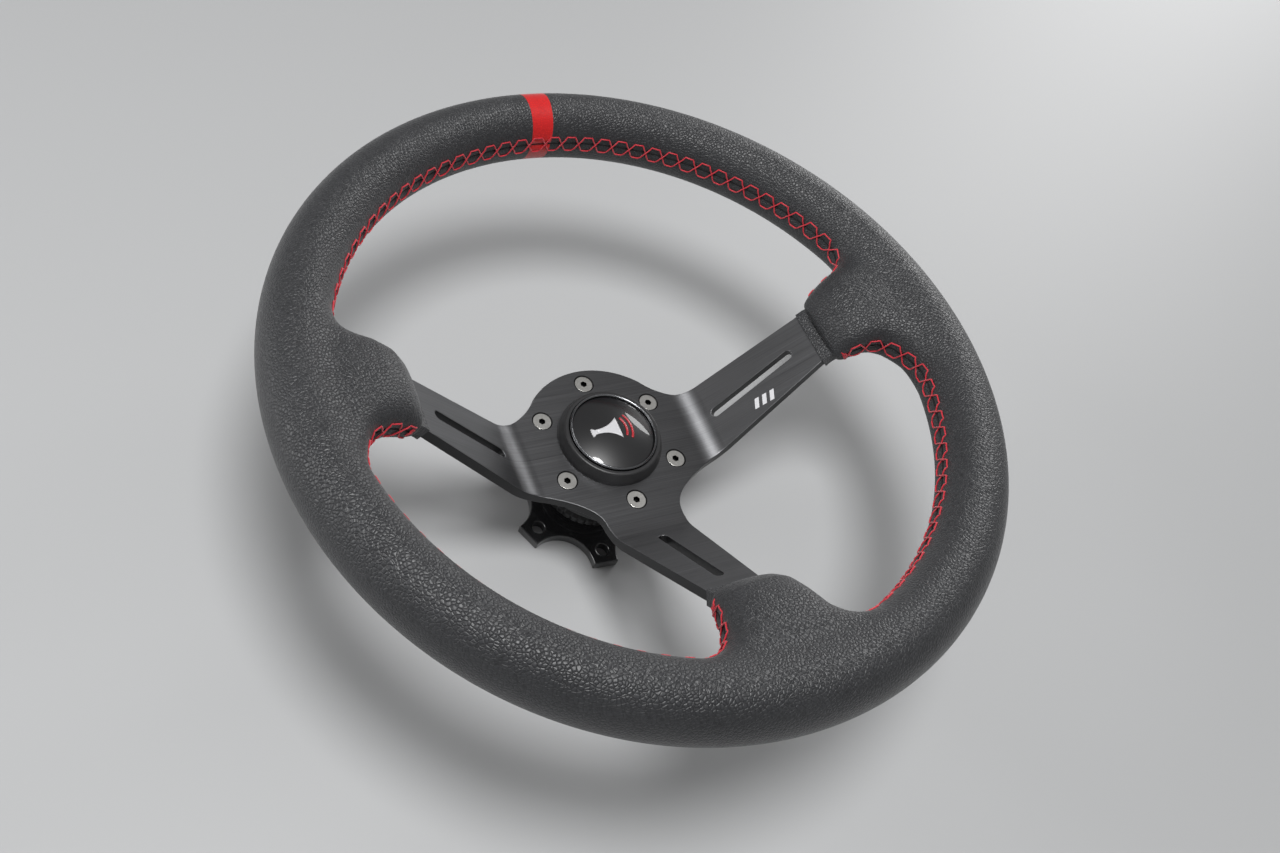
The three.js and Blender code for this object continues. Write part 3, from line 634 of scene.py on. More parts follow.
def bendPlate(obj):
    bm = bmesh.new()
    bm.from_mesh(obj.data)
    curved = [d for d, a0, a1 in zip(pathLength[1:-1], pathAngle[1:-1], pathAngle[2:]) if abs(a1 - a0) > 1e-6]
    curved += [pathLength[15], pathLength[16], pathLength[30]]
    for distance in sorted(set(round(float(d), 4) for d in curved)):
        for normal in ((1, 0, 0), (-1, 0, 0), (0, -1, 0)):
            bmesh.ops.bisect_plane(
                bm, geom=bm.verts[:] + bm.edges[:] + bm.faces[:], dist=1e-7,
                plane_co=Vector(normal) * distance * mm, plane_no=normal)
    for vert in bm.verts:
        x, y, z = vert.co / mm
        vert.co = Vector(bendPoint(x, y, levels["plateFront"] - z)) * mm
    bm.to_mesh(obj.data)
    bm.free()
    return obj


def buildPlate():
    loops = [plateOutline(), circle(plate["hornHole"], 96)]
    loops += [circle(plate["boltHole"], 32, polar(boltRadius, h)) for h in boltHeadings]
    loops += [slotLoop(plate["sideSlot"]), slotLoop(plate["sideSlot"], mirror=True)]
    loops.append(slotLoop(plate["bottomSlot"], turn=1))
    obj = flatPlate(
        "spoke_plate_visual", loops, plateThick, levels["plateBack"], brushedSpokes, plate["edgeRound"])
    obj.data.materials.append(satinBlack)
    for face in obj.data.polygons:
        face.material_index = int(abs(face.normal.z) < 0.35)
    bendPlate(obj)
    top = levels["plateFront"]
    sinks = []
    for heading in boltHeadings:
        sinks.append(turned("sink", [
            (0, top - plate["sinkDepth"]), (plate["boltHole"], top - plate["sinkDepth"]),
            (plate["sinkRadius"], top - 0.5), (plate["sinkRadius"] + 0.2, top + 1), (0, top + 1),
        ], None, 40, 0, polar(boltRadius, heading)))
    sinks = joined("sinks", sinks)
    sinks.data.materials.append(brushedSpokes)
    sinks.data.materials.append(satinBlack)
    for face in sinks.data.polygons:
        face.material_index = 1
    cut(obj, sinks)
    return weightNormals(obj, 50)


spokePlate = buildPlate()
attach(spokePlate, "wheel")
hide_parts("spoke_plate")
print("spoke plate", len(spokePlate.data.polygons))

# Three slanted bars, printed on the right spoke beside its slot.
barMark = {"from": 74.0, "step": 3.3, "width": 1.8, "height": 5.2, "lean": 1.6, "offset": -9.6, "raise": 0.06}


def buildBarMark():
    verts, faces = [], []
    for i in range(3):
        base = barMark["from"] + i * barMark["step"]
        corners = [
            (base, barMark["offset"]), (base + barMark["width"], barMark["offset"]),
            (base + barMark["width"] + barMark["lean"], barMark["offset"] + barMark["height"]),
            (base + barMark["lean"], barMark["offset"] + barMark["height"]),
        ]
        first = len(verts)
        for depth in (-barMark["raise"], 0.2):
            verts += [bendPoint(developed(x), y, depth) for x, y in corners]
        a = first
        faces += [(a, a + 1, a + 2, a + 3), (a + 7, a + 6, a + 5, a + 4)]
        faces += [(a + k, a + 4 + k, a + 4 + (k + 1) % 4, a + (k + 1) % 4) for k in range(4)]
    return tidyMesh(addMesh("spoke_bars", verts, faces, engraved, smooth=False), 1e-8)


spokeBars = buildBarMark()
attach(spokeBars, "wheel")


rim = {
    "radius": 159.5, "across": 15.5, "along": 18.0,
    "headings": {"right": 3.8, "left": 176.2, "bottom": 270.0},
    "padHalfSpan": 19.0, "markHalfSpan": 2.24,
    "voxel": 1.4, "leather": 1.5,
}

# Outline of the pads: distance out, edges across, mid level from the rim plane, half thickness.
sidePad = {
    "out": [111.0, 113.0, 115.0, 119.0, 125.0, 131.0, 136.0, 140.0, 146.0],
    "high": [28.2, 29.6, 31.0, 33.2, 36.0, 38.6, 41.0, 43.0, 45.0],
    "low": [-6.6, -7.2, -7.4, -7.5, -8.0, -9.8, -13.8, -20.3, -27.5],
    "mid": [-15.2, -13.9, -12.3, -9.2, -6.0, -4.0, -2.8, -2.0, -1.4],
    "thick": [6.0, 8.3, 10.1, 12.6, 14.0, 14.5, 14.4, 13.7, 12.5],
}
bottomPad = dict(sidePad, high=[16.0, 17.2, 18.0, 19.2, 21.2, 24.2, 28.2, 33.0, 38.0])
bottomPad["low"] = [-v for v in bottomPad["high"]]
padShapes = {"right": (sidePad, "right"), "left": (sidePad, "left"), "bottom": (bottomPad, "bottom")}
padEnd = {"radius": 143.0, "round": 8.0, "frontRound": 2.2, "fillet": 13.0, "square": 2.8}
leanReach = (112.0, 20.0)


def placePad(points, which):
    points = np.asarray(points, float).copy()
    if which == "left":
        points[:, 0] *= -1
    if which == "bottom":
        points = np.stack([points[:, 1], -points[:, 0], points[:, 2]], axis=1)
    points[:, 2] += levels["rim"]
    return points


def padLean(x):
    return math.atan(plate["rise"]) * np.clip(1 - (x - leanReach[0]) / leanReach[1], 0, 1)


def padLoft(shape, which, sides=56):
    rings = []
    for x in np.linspace(shape["out"][0], shape["out"][-1], 30):
        sizes = [np.interp(x, shape["out"], shape[k]) for k in ("high", "low", "mid", "thick")]
        high, low, mid, thick = sizes
        lean = padLean(x)
        ring = []
        for a in 2 * np.pi * (np.arange(sides) + 0.5) / sides:
            power = 2 / padEnd["square"]
            across = (high - low) / 2 * math.copysign(abs(math.cos(a)) ** power, math.cos(a))
            up = thick * math.copysign(abs(math.sin(a)) ** power, math.sin(a))
            ring.append((x - up * math.sin(lean), (high + low) / 2 + across, mid + up * math.cos(lean)))
        rings.append(placePad(ring, which))
    verts, faces = loftMesh(rings)
    return tidyMesh(addMesh("pad", verts, faces))


def softMin(a, b, k):
    h = np.clip(k - np.abs(a - b), 0, None) / k
    return np.minimum(a, b) - h * h * k / 4


def rimDistance(p):
    r = np.hypot(p[:, 0], p[:, 1]) - rim["radius"]
    z = p[:, 2] - levels["rim"]
    level = np.sqrt((r / rim["across"]) ** 2 + (z / rim["along"]) ** 2) + 1e-9
    slope = np.sqrt((r / rim["across"] ** 2) ** 2 + (z / rim["along"] ** 2) ** 2) / level
    return (level - 1) / (slope + 1e-9)


def padDistance(p, shape, which):
    x, y, z = p[:, 0], p[:, 1], p[:, 2] - levels["rim"]
    if which == "left":
        x = -x
    if which == "bottom":
        x, y = -y, x
    get = lambda key, at: np.interp(at, shape["out"], shape[key])
    at = x.copy()
    for _ in range(6):
        lean = padLean(at)
        up = (z - get("mid", at)) / np.cos(lean)
        at = 0.4 * at + 0.6 * (x + up * np.sin(lean))
    high, low, thick = get("high", at), get("low", at), get("thick", at)
    half = (high - low) / 2
    n = padEnd["square"]
    side, above = np.abs(y - (high + low) / 2) / half, np.abs(up) / thick
    level = (side ** n + above ** n) ** (1 / n) + 1e-9
    slope = np.hypot((side / level) ** (n - 1) / half, (above / level) ** (n - 1) / thick)
    body = (level - 1) / (slope + 1e-6)
    outer = np.hypot(x, y) - padEnd["radius"]
    body = -softMin(-body, -outer, padEnd["round"])
    return -softMin(-body, -(shape["out"][0] - at), padEnd["frontRound"])


def skinDistance(p):
    pads = np.min([padDistance(p, shape, which) for shape, which in padShapes.values()], axis=0)
    return softMin(rimDistance(p), pads, padEnd["fillet"])


# Moves every point onto the blended skin, evening the points out between the moves.
def settle(mesh, rounds=5):
    count = len(mesh.vertices)
    flat = np.zeros(count * 3)
    mesh.vertices.foreach_get("co", flat)
    points = flat.reshape(-1, 3) / mm
    edges = np.zeros(len(mesh.edges) * 2, int)
    mesh.edges.foreach_get("vertices", edges)
    a, b = edges.reshape(-1, 2).T
    degree = np.bincount(np.concatenate([a, b]), minlength=count)[:, None]
    step = 0.05
    for _ in range(rounds):
        for _ in range(3):
            total = np.stack([
                np.bincount(a, points[b, k], count) + np.bincount(b, points[a, k], count)
                for k in range(3)], axis=1)
            points = points + 0.6 * (total / degree - points)
        for _ in range(3):
            here = skinDistance(points)
            slope = np.stack([
                (skinDistance(points + step * axis) - here) / step for axis in np.eye(3)], axis=1)
            size = np.maximum((slope ** 2).sum(1), 0.2)
            points = points - np.clip(here / size, -2, 2)[:, None] * slope
    mesh.vertices.foreach_set("co", (points * mm).ravel())
    mesh.update()


def rimTorus(rings=240, sides=48):
    verts, faces = [], []
    for i in range(rings):
        for j in range(sides):
            turn = 2 * math.pi * j / sides
            x, y = polar(rim["radius"] + rim["across"] * math.cos(turn), 360 * i / rings)
            verts.append((x, y, levels["rim"] + rim["along"] * math.sin(turn)))
    for i in range(rings):
        for j in range(sides):
            k, m = (i + 1) % rings, (j + 1) % sides
            faces.append((i * sides + j, k * sides + j, k * sides + m, i * sides + m))
    return tidyMesh(addMesh("torus", verts, faces))


def buildSkin():
    parts = [rimTorus()] + [padLoft(shape, which) for shape, which in padShapes.values()]
    skin = joined("skin", parts)
    mod = skin.modifiers.new("voxels", "REMESH")
    mod.mode = "VOXEL"
    mod.voxel_size = rim["voxel"] * mm
    bakeModifiers(skin)
    settle(skin.data)
    skin.data.shade_smooth()
    return skin


skin = buildSkin()
print("skin", len(skin.data.polygons))


def skinTree():
    mesh = skin.data
    return BVHTree.FromPolygons([v.co[:] for v in mesh.vertices], [p.vertices[:] for p in mesh.polygons])


stitch = {
    "rimLevel": 1.2, "pitch": 9.4, "row": 4.4, "thread": 0.38, "lift": 0.30,
    "groove": 0.9, "grooveWidth": 1.5, "dash": 0.46, "endRow": 2.6,
    "padReach": (114, 139), "padOffset": 2.0, "gapRadius": 0.42, "gapInset": 0.15,
}


# Points beside a pad, from its cut edge out to the rim.
def guideAlongPad(shape, which, side):
    key = "high" if side > 0 else "low"
    outs = np.linspace(*stitch["padReach"], 12)
    across = np.interp(outs, shape["out"], shape[key]) + side * stitch["padOffset"]
    level = np.interp(outs, shape["out"], shape["mid"])
    return placePad(np.stack([outs, across, level], axis=1), which)


def rimGuide(start, end):
    radius = rim["radius"] - rim["across"] - 1.5
    level = levels["rim"] + stitch["rimLevel"]
    return np.array([(*polar(radius, a), level) for a in np.linspace(start, end, 90)])


def seamPaths():
    right, left, bottom = ("right", "left", "bottom")
    top = np.vstack([
        guideAlongPad(sidePad, right, 1), rimGuide(21.5, 158.5), guideAlongPad(sidePad, left, 1)[::-1]])
    lowerLeft = np.vstack([
        guideAlongPad(sidePad, left, -1), rimGuide(195.0, 253.0), guideAlongPad(bottomPad, bottom, -1)[::-1]])
    lowerRight = np.vstack([
        guideAlongPad(bottomPad, bottom, 1), rimGuide(287.0, 345.0), guideAlongPad(sidePad, right, -1)[::-1]])
    return [top, lowerLeft, lowerRight]


def resample(points, count):
    points = np.asarray(points, float)
    length = np.concatenate([[0], np.cumsum(np.linalg.norm(np.diff(points, axis=0), axis=1))])
    at = np.linspace(0, length[-1], count)
    return np.stack([np.interp(at, length, points[:, k]) for k in range(3)], axis=1), length[-1]


def snap(tree, point):
    place, normal, _, _ = tree.find_nearest(Vector(point) * mm)
    return np.array(place) / mm, np.array(normal)


def smoothSeam(tree, guide):
    points, total = resample(guide, 500)
    for _ in range(3):
        points = np.array([snap(tree, p)[0] for p in points])
        for _ in range(14):
            points[1:-1] += 0.5 * ((points[:-2] + points[2:]) / 2 - points[1:-1])
        points, total = resample(points, int(total / 0.8))
    return np.array([snap(tree, p)[0] for p in points]), total


seamTree = skinTree()
seams = [smoothSeam(seamTree, guide) for guide in seamPaths()]
print("seams", [round(total) for _, total in seams])


def pressGroove(mesh, seams):
    tree = KDTree(sum(len(points) for points, _ in seams))
    index = 0
    for points, _ in seams:
        for p in points:
            tree.insert(Vector(p) * mm, index)
            index += 1
    tree.balance()
    for vert in mesh.vertices:
        _, _, distance = tree.find(vert.co)
        reach = distance / mm / stitch["grooveWidth"]
        if reach < 3:
            vert.co -= vert.normal * stitch["groove"] * mm * math.exp(-reach * reach)
    mesh.update()


pressGroove(skin.data, seams)
skinBvh = skinTree()


# Point, direction and the way across the seam at a share of its length.
def seamFrame(points, at):
    place = at * (len(points) - 1)
    i = int(min(max(place, 0), len(points) - 2))
    point = points[i] + (points[i + 1] - points[i]) * (place - i)
    ahead = points[min(i + 3, len(points) - 1)] - points[max(i - 2, 0)]
    ahead = ahead / np.linalg.norm(ahead)
    _, normal = snap(skinBvh, point)
    across = np.cross(normal, ahead)
    return point, ahead, across / np.linalg.norm(across)


# One length of thread pulled straight between two needle holes, over the leather and the gap.
def strand(start, end, over, steps=9):
    first, _ = snap(skinBvh, start)
    last, _ = snap(skinBvh, end)
    line = []
    for t in np.linspace(0, 1, steps):
        point = first + (last - first) * t
        place, normal = snap(skinBvh, point)
        height = float(np.dot(point - place, normal))
        dip = 0.5 * abs(2 * t - 1) ** 10
        bridge = 0.62 * over * math.exp(-(((t - 0.5) / 0.16) ** 2))
        line.append(point + normal * (max(stitch["lift"] - height, 0.0) - dip + bridge))
    return line


def threadLines():
    lines = []
    for points, total in seams:
        count = int(round(total / stitch["pitch"]))
        dash = stitch["dash"]
        for i in range(count):
            holes = {}
            for label, share in (("a", 0.0), ("b", dash), ("c", 1.0)):
                at = min((i + share) / count, 1.0)
                point, _, across = seamFrame(points, at)
                holes[label] = (point + across * stitch["row"], point - across * stitch["row"])
            lines.append(strand(holes["a"][0], holes["b"][0], 0))
            lines.append(strand(holes["a"][1], holes["b"][1], 0))
            lines.append(strand(holes["b"][0], holes["c"][1], 0))
            lines.append(strand(holes["b"][1], holes["c"][0], 1))
        for at in (0.004, 0.996):
            point, ahead, across = seamFrame(points, at)
            side = across * stitch["endRow"]
            for k in (-1, 0, 1):
                start, end = point - side + ahead * k * 0.7, point + side + ahead * k * 0.5
                lines.append(strand(start, end, 1 + 0.3 * k))
    return lines


def finishTree(tree, made, start, end):
    real = node(tree, "GeometryNodeRealizeInstances", {0: made}).outputs[0]
    painted = node(tree, "GeometryNodeSetMaterial", {0: real, "Material": start.outputs["Material"]})
    tree.links.new(painted.outputs[0], end.inputs[0])


# Sweeps every thread path with a round section of the thread's size.
def threadNodes():
    tree = bpy.data.node_groups.new("threadSweep", "GeometryNodeTree")
    tree.interface.new_socket("Paths", in_out="INPUT", socket_type="NodeSocketGeometry")
    radius = tree.interface.new_socket("Thread Radius", in_out="INPUT", socket_type="NodeSocketFloat")
    sides = tree.interface.new_socket("Sides", in_out="INPUT", socket_type="NodeSocketInt")
    paint = tree.interface.new_socket("Material", in_out="INPUT", socket_type="NodeSocketMaterial")
    tree.interface.new_socket("Threads", in_out="OUTPUT", socket_type="NodeSocketGeometry")
    start, end = tree.nodes.new("NodeGroupInput"), tree.nodes.new("NodeGroupOutput")
    curve = node(tree, "GeometryNodeMeshToCurve", {0: start.outputs["Paths"]})
    section = {"Resolution": start.outputs["Sides"], "Radius": start.outputs["Thread Radius"]}
    ring = node(tree, "GeometryNodeCurvePrimitiveCircle", section)
    swept = {0: curve.outputs[0], "Profile Curve": ring.outputs[0], "Fill Caps": True}
    sweep = node(tree, "GeometryNodeCurveToMesh", swept)
    finishTree(tree, sweep.outputs[0], start, end)
    return tree, {"radius": radius.identifier, "sides": sides.identifier, "material": paint.identifier}


def buildThreads():
    verts, edges = [], []
    for line in threadLines():
        first = len(verts)
        verts += [tuple(np.array(p) * mm) for p in line]
        edges += [(first + i, first + i + 1) for i in range(len(line) - 1)]
    mesh = bpy.data.meshes.new("seam_stitches")
    mesh.from_pydata(verts, edges, [])
    obj = addObject("seam_stitches", mesh)
    tree, names = threadNodes()
    mod = obj.modifiers.new("threads", "NODES")
    mod.node_group = tree
    mod[names["radius"]] = stitch["thread"] * mm
    mod[names["sides"]] = 6
    mod[names["material"]] = redThread
    bakeModifiers(obj)
    obj.data.shade_smooth()
    return tidyMesh(obj, 1e-8)


threads = buildThreads()
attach(threads, "wheel")
print("stitches", len(threads.data.polygons))

cords = []
for number, (points, _) in enumerate(seams):
    inset = []
    for p in points[::2]:
        place, normal = snap(skinBvh, p)
        inset.append(place - normal * stitch["gapInset"])
    cords.append(tube(f"seam{number}", inset, stitch["gapRadius"], seamDark, 8))
seamGap = joined("seam_gap", cords)
seamGap.data.shade_smooth()
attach(seamGap, "wheel")


def regionOf(x, y):
    heading = math.degrees(math.atan2(y, x)) % 360
    half, mark = rim["padHalfSpan"], rim["markHalfSpan"]
    for name, middle in rim["headings"].items():
        if abs((heading - middle + 180) % 360 - 180) < half:
            return "spoke_pad_" + name
    if abs(heading - 90) < mark:
        return "centre_mark"
    if heading < 90:
        return "grip_upper_right"
    if heading < 180:
        return "grip_upper_left"
    return "grip_lower_left" if heading < 270 else "grip_lower_right"


def splitSkin():
    bm = bmesh.new()
    bm.from_mesh(skin.data)
    angles = [90 - rim["markHalfSpan"], 90 + rim["markHalfSpan"]]
    for middle in rim["headings"].values():
        angles += [middle - rim["padHalfSpan"], middle + rim["padHalfSpan"]]
    for angle in angles:
        normal = polar(1, angle + 90)
        bmesh.ops.bisect_plane(
            bm, geom=bm.verts[:] + bm.edges[:] + bm.faces[:], dist=1e-6,
            plane_co=(0, 0, levels["rim"] * mm), plane_no=(*normal, 0))
    for vert in bm.verts:
        vert.normal_update()
    groups = {}
    for face in bm.faces:
        middle = face.calc_center_median()
        groups.setdefault(regionOf(middle.x, middle.y), []).append(face)
    pieces = {}
    for name, faces in groups.items():
        index, verts, normals, polys = {}, [], [], []
        for face in faces:
            poly = []
            for vert in face.verts:
                if vert not in index:
                    index[vert] = len(verts)
                    verts.append(vert.co[:])
                    normals.append(vert.normal[:])
                poly.append(index[vert])
            polys.append(poly)
        pieces[name] = wallPiece(name, np.array(verts), np.array(normals), polys)
    bm.free()
    return pieces


# Closed leather panel: the outer face, the same face one thickness in, and the cut edges.
def wallPiece(name, verts, normals, polys):
    count = len(verts)
    inner = verts - normals * rim["leather"] * mm
    border = {}
    for poly in polys:
        for a, b in zip(poly, poly[1:] + poly[:1]):
            if (b, a) in border:
                del border[(b, a)]
            else:
                border[(a, b)] = True
    faces = list(polys) + [[v + count for v in poly[::-1]] for poly in polys]
    faces += [(b, a, a + count, b + count) for a, b in border]
    mesh = bpy.data.meshes.new(name + "_leather")
    mesh.from_pydata([tuple(v) for v in np.vstack([verts, inner])], [], faces)
    mesh.update()
    mesh.shade_smooth()
    corner = np.vstack([normals, -normals])
    mesh.normals_split_custom_set_from_vertices([tuple(n) for n in corner])
    mesh.materials.append(markLeather if name == "centre_mark" else gripLeather)
    return addObject(name + "_leather", mesh)


panels = splitSkin()
bpy.data.objects.remove(skin)
for name, panel in panels.items():
    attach(panel, "wheel")
    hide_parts(name)
print("leather panels", {name: len(p.data.polygons) for name, p in panels.items()})

# Raw-edged leather strip where each pad ends on its spoke.
lip = {"from": 105.5, "to": 112.5, "thick": 1.2, "grow": 0.9}


def buildLip(which):
    rings = []
    for x in np.linspace(lip["from"], lip["to"], 8):
        low, high = (-bottomHalf(x), bottomHalf(x)) if which == "bottom" else sideEdges(x)
        s = developed(x)
        ring = []
        corners = [
            (low - lip["grow"], -lip["thick"]), (high + lip["grow"], -lip["thick"]),
            (high + lip["grow"], plateThick + lip["thick"]), (low - lip["grow"], plateThick + lip["thick"]),
        ]
        for y, depth in softened(corners, 1.2, 3):
            cx, _, cz = bendPoint(s, 0, depth)
            ring.append((cx, y, cz - levels["rim"]))
        rings.append(placePad(ring, which))
    verts, faces = loftMesh(rings)
    return tidyMesh(addMesh("lip", verts, faces, gripLeather))


lips = joined("pad_lips", [buildLip(which) for which in ("right", "left", "bottom")])
weightNormals(lips, 50)
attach(lips, "wheel")


screw = {"head": 4.7, "depth": 2.6, "shank": 2.5, "foot": 44.3, "flats": 3.0, "socket": 2.3, "inset": 0.35}


# Puts one copy of the unit on every point.
def pointNodes():
    tree = bpy.data.node_groups.new("unitOnPoints", "GeometryNodeTree")
    tree.interface.new_socket("Points", in_out="INPUT", socket_type="NodeSocketGeometry")
    unit = tree.interface.new_socket("Unit", in_out="INPUT", socket_type="NodeSocketObject")
    paint = tree.interface.new_socket("Material", in_out="INPUT", socket_type="NodeSocketMaterial")
    turn = tree.interface.new_socket("Turn Seed", in_out="INPUT", socket_type="NodeSocketInt")
    tree.interface.new_socket("Result", in_out="OUTPUT", socket_type="NodeSocketGeometry")
    start, end = tree.nodes.new("NodeGroupInput"), tree.nodes.new("NodeGroupOutput")
    info = node(tree, "GeometryNodeObjectInfo", {"Object": start.outputs["Unit"]})
    spin = node(tree, "FunctionNodeRandomValue", {"Seed": start.outputs["Turn Seed"]}, data_type="FLOAT")
    spin.inputs[3].default_value = 6.283
    turns = node(tree, "ShaderNodeCombineXYZ", {"Z": spin.outputs[1]})
    copies = node(tree, "GeometryNodeInstanceOnPoints", {
        "Points": start.outputs["Points"], "Instance": info.outputs["Geometry"], "Rotation": turns.outputs[0],
    })
    finishTree(tree, copies.outputs[0], start, end)
    return tree, {"unit": unit.identifier, "material": paint.identifier, "seed": turn.identifier}


def buildScrews():
    top = levels["plateFront"] - screw["inset"]
    unit = turned("screwUnit", [
        (0, screw["foot"]), (screw["shank"], screw["foot"]), (screw["shank"], top - screw["depth"]),
        (screw["head"], top - 0.4), (screw["head"], top), (0, top),
    ], nickel, 48, 0.15)
    corner = screw["flats"] / math.sqrt(3)
    key = turned("key", [
        (0, top - screw["socket"]), (corner, top - screw["socket"]), (corner, top - 0.25),
        (corner + 0.35, top + 0.5), (0, top + 0.5),
    ], None, 6, 0)
    cut(unit, key)
    weightNormals(unit, 40)
    # Marks the vertices down in the hex socket, where the screw colour paints shade.
    deep = unit.data.attributes.new("deep", "FLOAT", "POINT")
    for vert, value in zip(unit.data.vertices, deep.data):
        x, y, z = vert.co / mm
        inside = math.hypot(x, y) < screw["flats"] * 0.62
        value.value = float(inside and top - screw["socket"] - 0.1 < z < top - 0.2)
    mesh = bpy.data.meshes.new("wheel_screws")
    mesh.from_pydata([(*np.array(polar(boltRadius, h)) * mm, 0) for h in boltHeadings], [], [])
    obj = addObject("wheel_screws", mesh)
    tree, names = pointNodes()
    mod = obj.modifiers.new("copies", "NODES")
    mod.node_group = tree
    mod[names["unit"]] = unit
    mod[names["material"]] = screwNickel
    mod[names["seed"]] = 4
    bakeModifiers(obj)
    bpy.data.objects.remove(unit)
    return obj


screws = buildScrews()
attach(screws, "wheel")
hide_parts(*[f"wheel_screw_{i + 1}" for i in range(6)])


# Radii, and levels above the plate's front face.
horn = {
    "bezel": (27.0, 25.0), "bezelRise": 7.0, "mouth": 22.7, "wall": (23.5, 24.7), "skirt": 4.4, "cap": 4.7,
    "ring": (21.2, 22.4), "ringRise": 7.7, "dome": 20.9, "domeEdge": 7.1, "domeTop": 10.7,
}
front = levels["plateFront"]
foot, lean = horn["bezel"]
inner, outer = horn["wall"]
rise = front + horn["bezelRise"]
bezel = turned("horn_bezel_visual", [
    (foot, front + 0.05), (foot - 0.3, front + 2.2), (lean, rise - 0.4), (lean - 0.7, rise),
    (horn["mouth"], rise), (horn["mouth"], rise - 1.2), (inner, rise - 1.2), (inner, front - horn["skirt"]),
    (outer, front - horn["skirt"]), (outer, front + 0.05),
], blackPlastic, 144, 0.45)
inner, outer = horn["ring"]
rise = front + horn["ringRise"]
ringPiece = turned("horn_ring_visual", [
    (inner, front + horn["cap"]), (outer, front + horn["cap"]), (outer, rise), (inner + 0.5, rise + 0.5),
    (inner, rise + 0.2),
], darkRing, 144, 0.18)


def domeLevel(r):
    edge, top = front + horn["domeEdge"], front + horn["domeTop"]
    return top - (top - edge) * (r / horn["dome"]) ** 2


def domeProfile(steps=26):
    profile = [(0, front + horn["cap"]), (horn["dome"], front + horn["cap"])]
    return profile + [(r, domeLevel(r)) for r in np.linspace(horn["dome"], 0, steps)]


emblem = turned("horn_emblem_visual", domeProfile(), domeBlack, 128, 0)
weightNormals(bezel, 60)
weightNormals(ringPiece, 60)
weightNormals(emblem, 50)
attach(bezel, "wheel")
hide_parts("horn_bezel")
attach(ringPiece, "horn_button")
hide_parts("horn_ring")
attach(emblem, "horn_button")
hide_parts("horn_emblem")

# Plain horn sign on the dome: a bell with a mouthpiece and two sound arcs.
sign = {
    "bell": 6.0, "throat": 1.3, "length": 11.0, "stem": 6.5, "shift": -4.0, "lift": 0.05, "thick": 0.12,
    "arcs": (9.2, 12.2), "arcWidth": 1.25, "arcSpan": 32,
}


# Thin print that follows the dome.
def domeFlat(name, grids, paint):
    verts, faces = [], []
    for grid in grids:
        rows, columns = len(grid), len(grid[0])
        first = len(verts)
        for row in grid:
            verts += [(x, y, domeLevel(math.hypot(x, y)) + sign["lift"]) for x, y in row]
        for i in range(rows - 1):
            for j in range(columns - 1):
                a = first + i * columns + j
                faces.append((a, a + columns, a + columns + 1, a + 1))
    obj = addMesh(name, verts, faces, paint)
    mod = obj.modifiers.new("wall", "SOLIDIFY")
    mod.thickness = sign["thick"] * mm
    mod.offset = -1
    bakeModifiers(obj)
    return tidyMesh(obj, 1e-8)


def hornSign():
    bell = []
    for t in np.linspace(0, 1, 14):
        x = sign["shift"] + sign["length"] * (t - 0.45)
        half = sign["throat"] + (sign["bell"] - sign["throat"]) * t ** 2.2
        bell.append([(x, half * s) for s in np.linspace(-1, 1, 9)])
    stem = []
    for t in np.linspace(0, 1, 5):
        x = sign["shift"] - sign["length"] * 0.45 - sign["stem"] * 0.6 * t
        half = sign["throat"] * (1 if t < 0.75 else 1.7)
        stem.append([(x, half * s) for s in np.linspace(-1, 1, 5)])
    arcs = []
    for radius in sign["arcs"]:
        grid = []
        for a in np.linspace(-sign["arcSpan"], sign["arcSpan"], 17):
            row = [polar(radius + w, a) for w in (0, sign["arcWidth"] / 2, sign["arcWidth"])]
            grid.append([(sign["shift"] + x, y) for x, y in row])
        arcs.append(grid)
    return domeFlat("horn_sign", [bell, stem], printWhite), domeFlat("horn_sign_arcs", arcs, printRed)


for piece in hornSign():
    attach(piece, "horn_button")
print("horn button")


flangeShape = {
    "reach": 42.5, "lobeWidth": 13.5, "scallop": 10.0, "clocking": -5.0, "hole": 3.3, "bore": 11.9,
    "cornerRound": 0.9, "edgeRound": 0.8,
}


def spin(x, y, turn):
    a = math.radians(turn)
    return np.array([x * math.cos(a) - y * math.sin(a), x * math.sin(a) + y * math.cos(a)])


def flangeOutline():
    outline = []
    half = flangeShape["lobeWidth"] / 2
    for heading in boltHeadings:
        here = heading + flangeShape["clocking"]
        corner = [spin(flangeShape["reach"], half, here), spin(flangeShape["reach"], -half, here)]
        target = spin(flangeShape["reach"], half, here - 60)
        middle = (corner[1] + target) / 2
        halfChord = np.linalg.norm(target - corner[1]) / 2
        radius = (halfChord ** 2 + flangeShape["scallop"] ** 2) / (2 * flangeShape["scallop"])
        outward = middle / np.linalg.norm(middle)
        along = (target - corner[1]) / (2 * halfChord)
        centre = middle + outward * (radius - flangeShape["scallop"])
        sweep = math.asin(min(1.0, halfChord / radius))
        outline.append(corner[0])
        for bow in np.linspace(-sweep, sweep, 28)[:-1]:
            outline.append(centre + along * radius * math.sin(bow) - outward * radius * math.cos(bow))
    loop = [tuple(p) for p in outline]
    rounded = []
    for i, p in enumerate(loop):
        before, after = np.subtract(loop[i - 1], p), np.subtract(loop[(i + 1) % len(loop)], p)
        before, after = before / np.linalg.norm(before), after / np.linalg.norm(after)
        if math.degrees(math.acos(np.clip(-np.dot(before, after), -1, 1))) < 20:
            rounded.append(p)
            continue
        reach = flangeShape["cornerRound"]
        rounded += [tuple(q) for q in bezier(p + before * reach, np.array(p), p + after * reach, 5)]
    return rounded


flangeLoops = [flangeOutline(), circle(flangeShape["bore"], 72)]
for heading in boltHeadings:
    flangeLoops.append(circle(flangeShape["hole"], 36, polar(boltRadius, heading + flangeShape["clocking"])))
columnFlange = flatPlate(
    "column_flange_visual", flangeLoops, levels["flange"], 0.0, glossBlack, flangeShape["edgeRound"])
weightNormals(columnFlange, 50)
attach(columnFlange, "column_half")
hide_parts("column_flange")

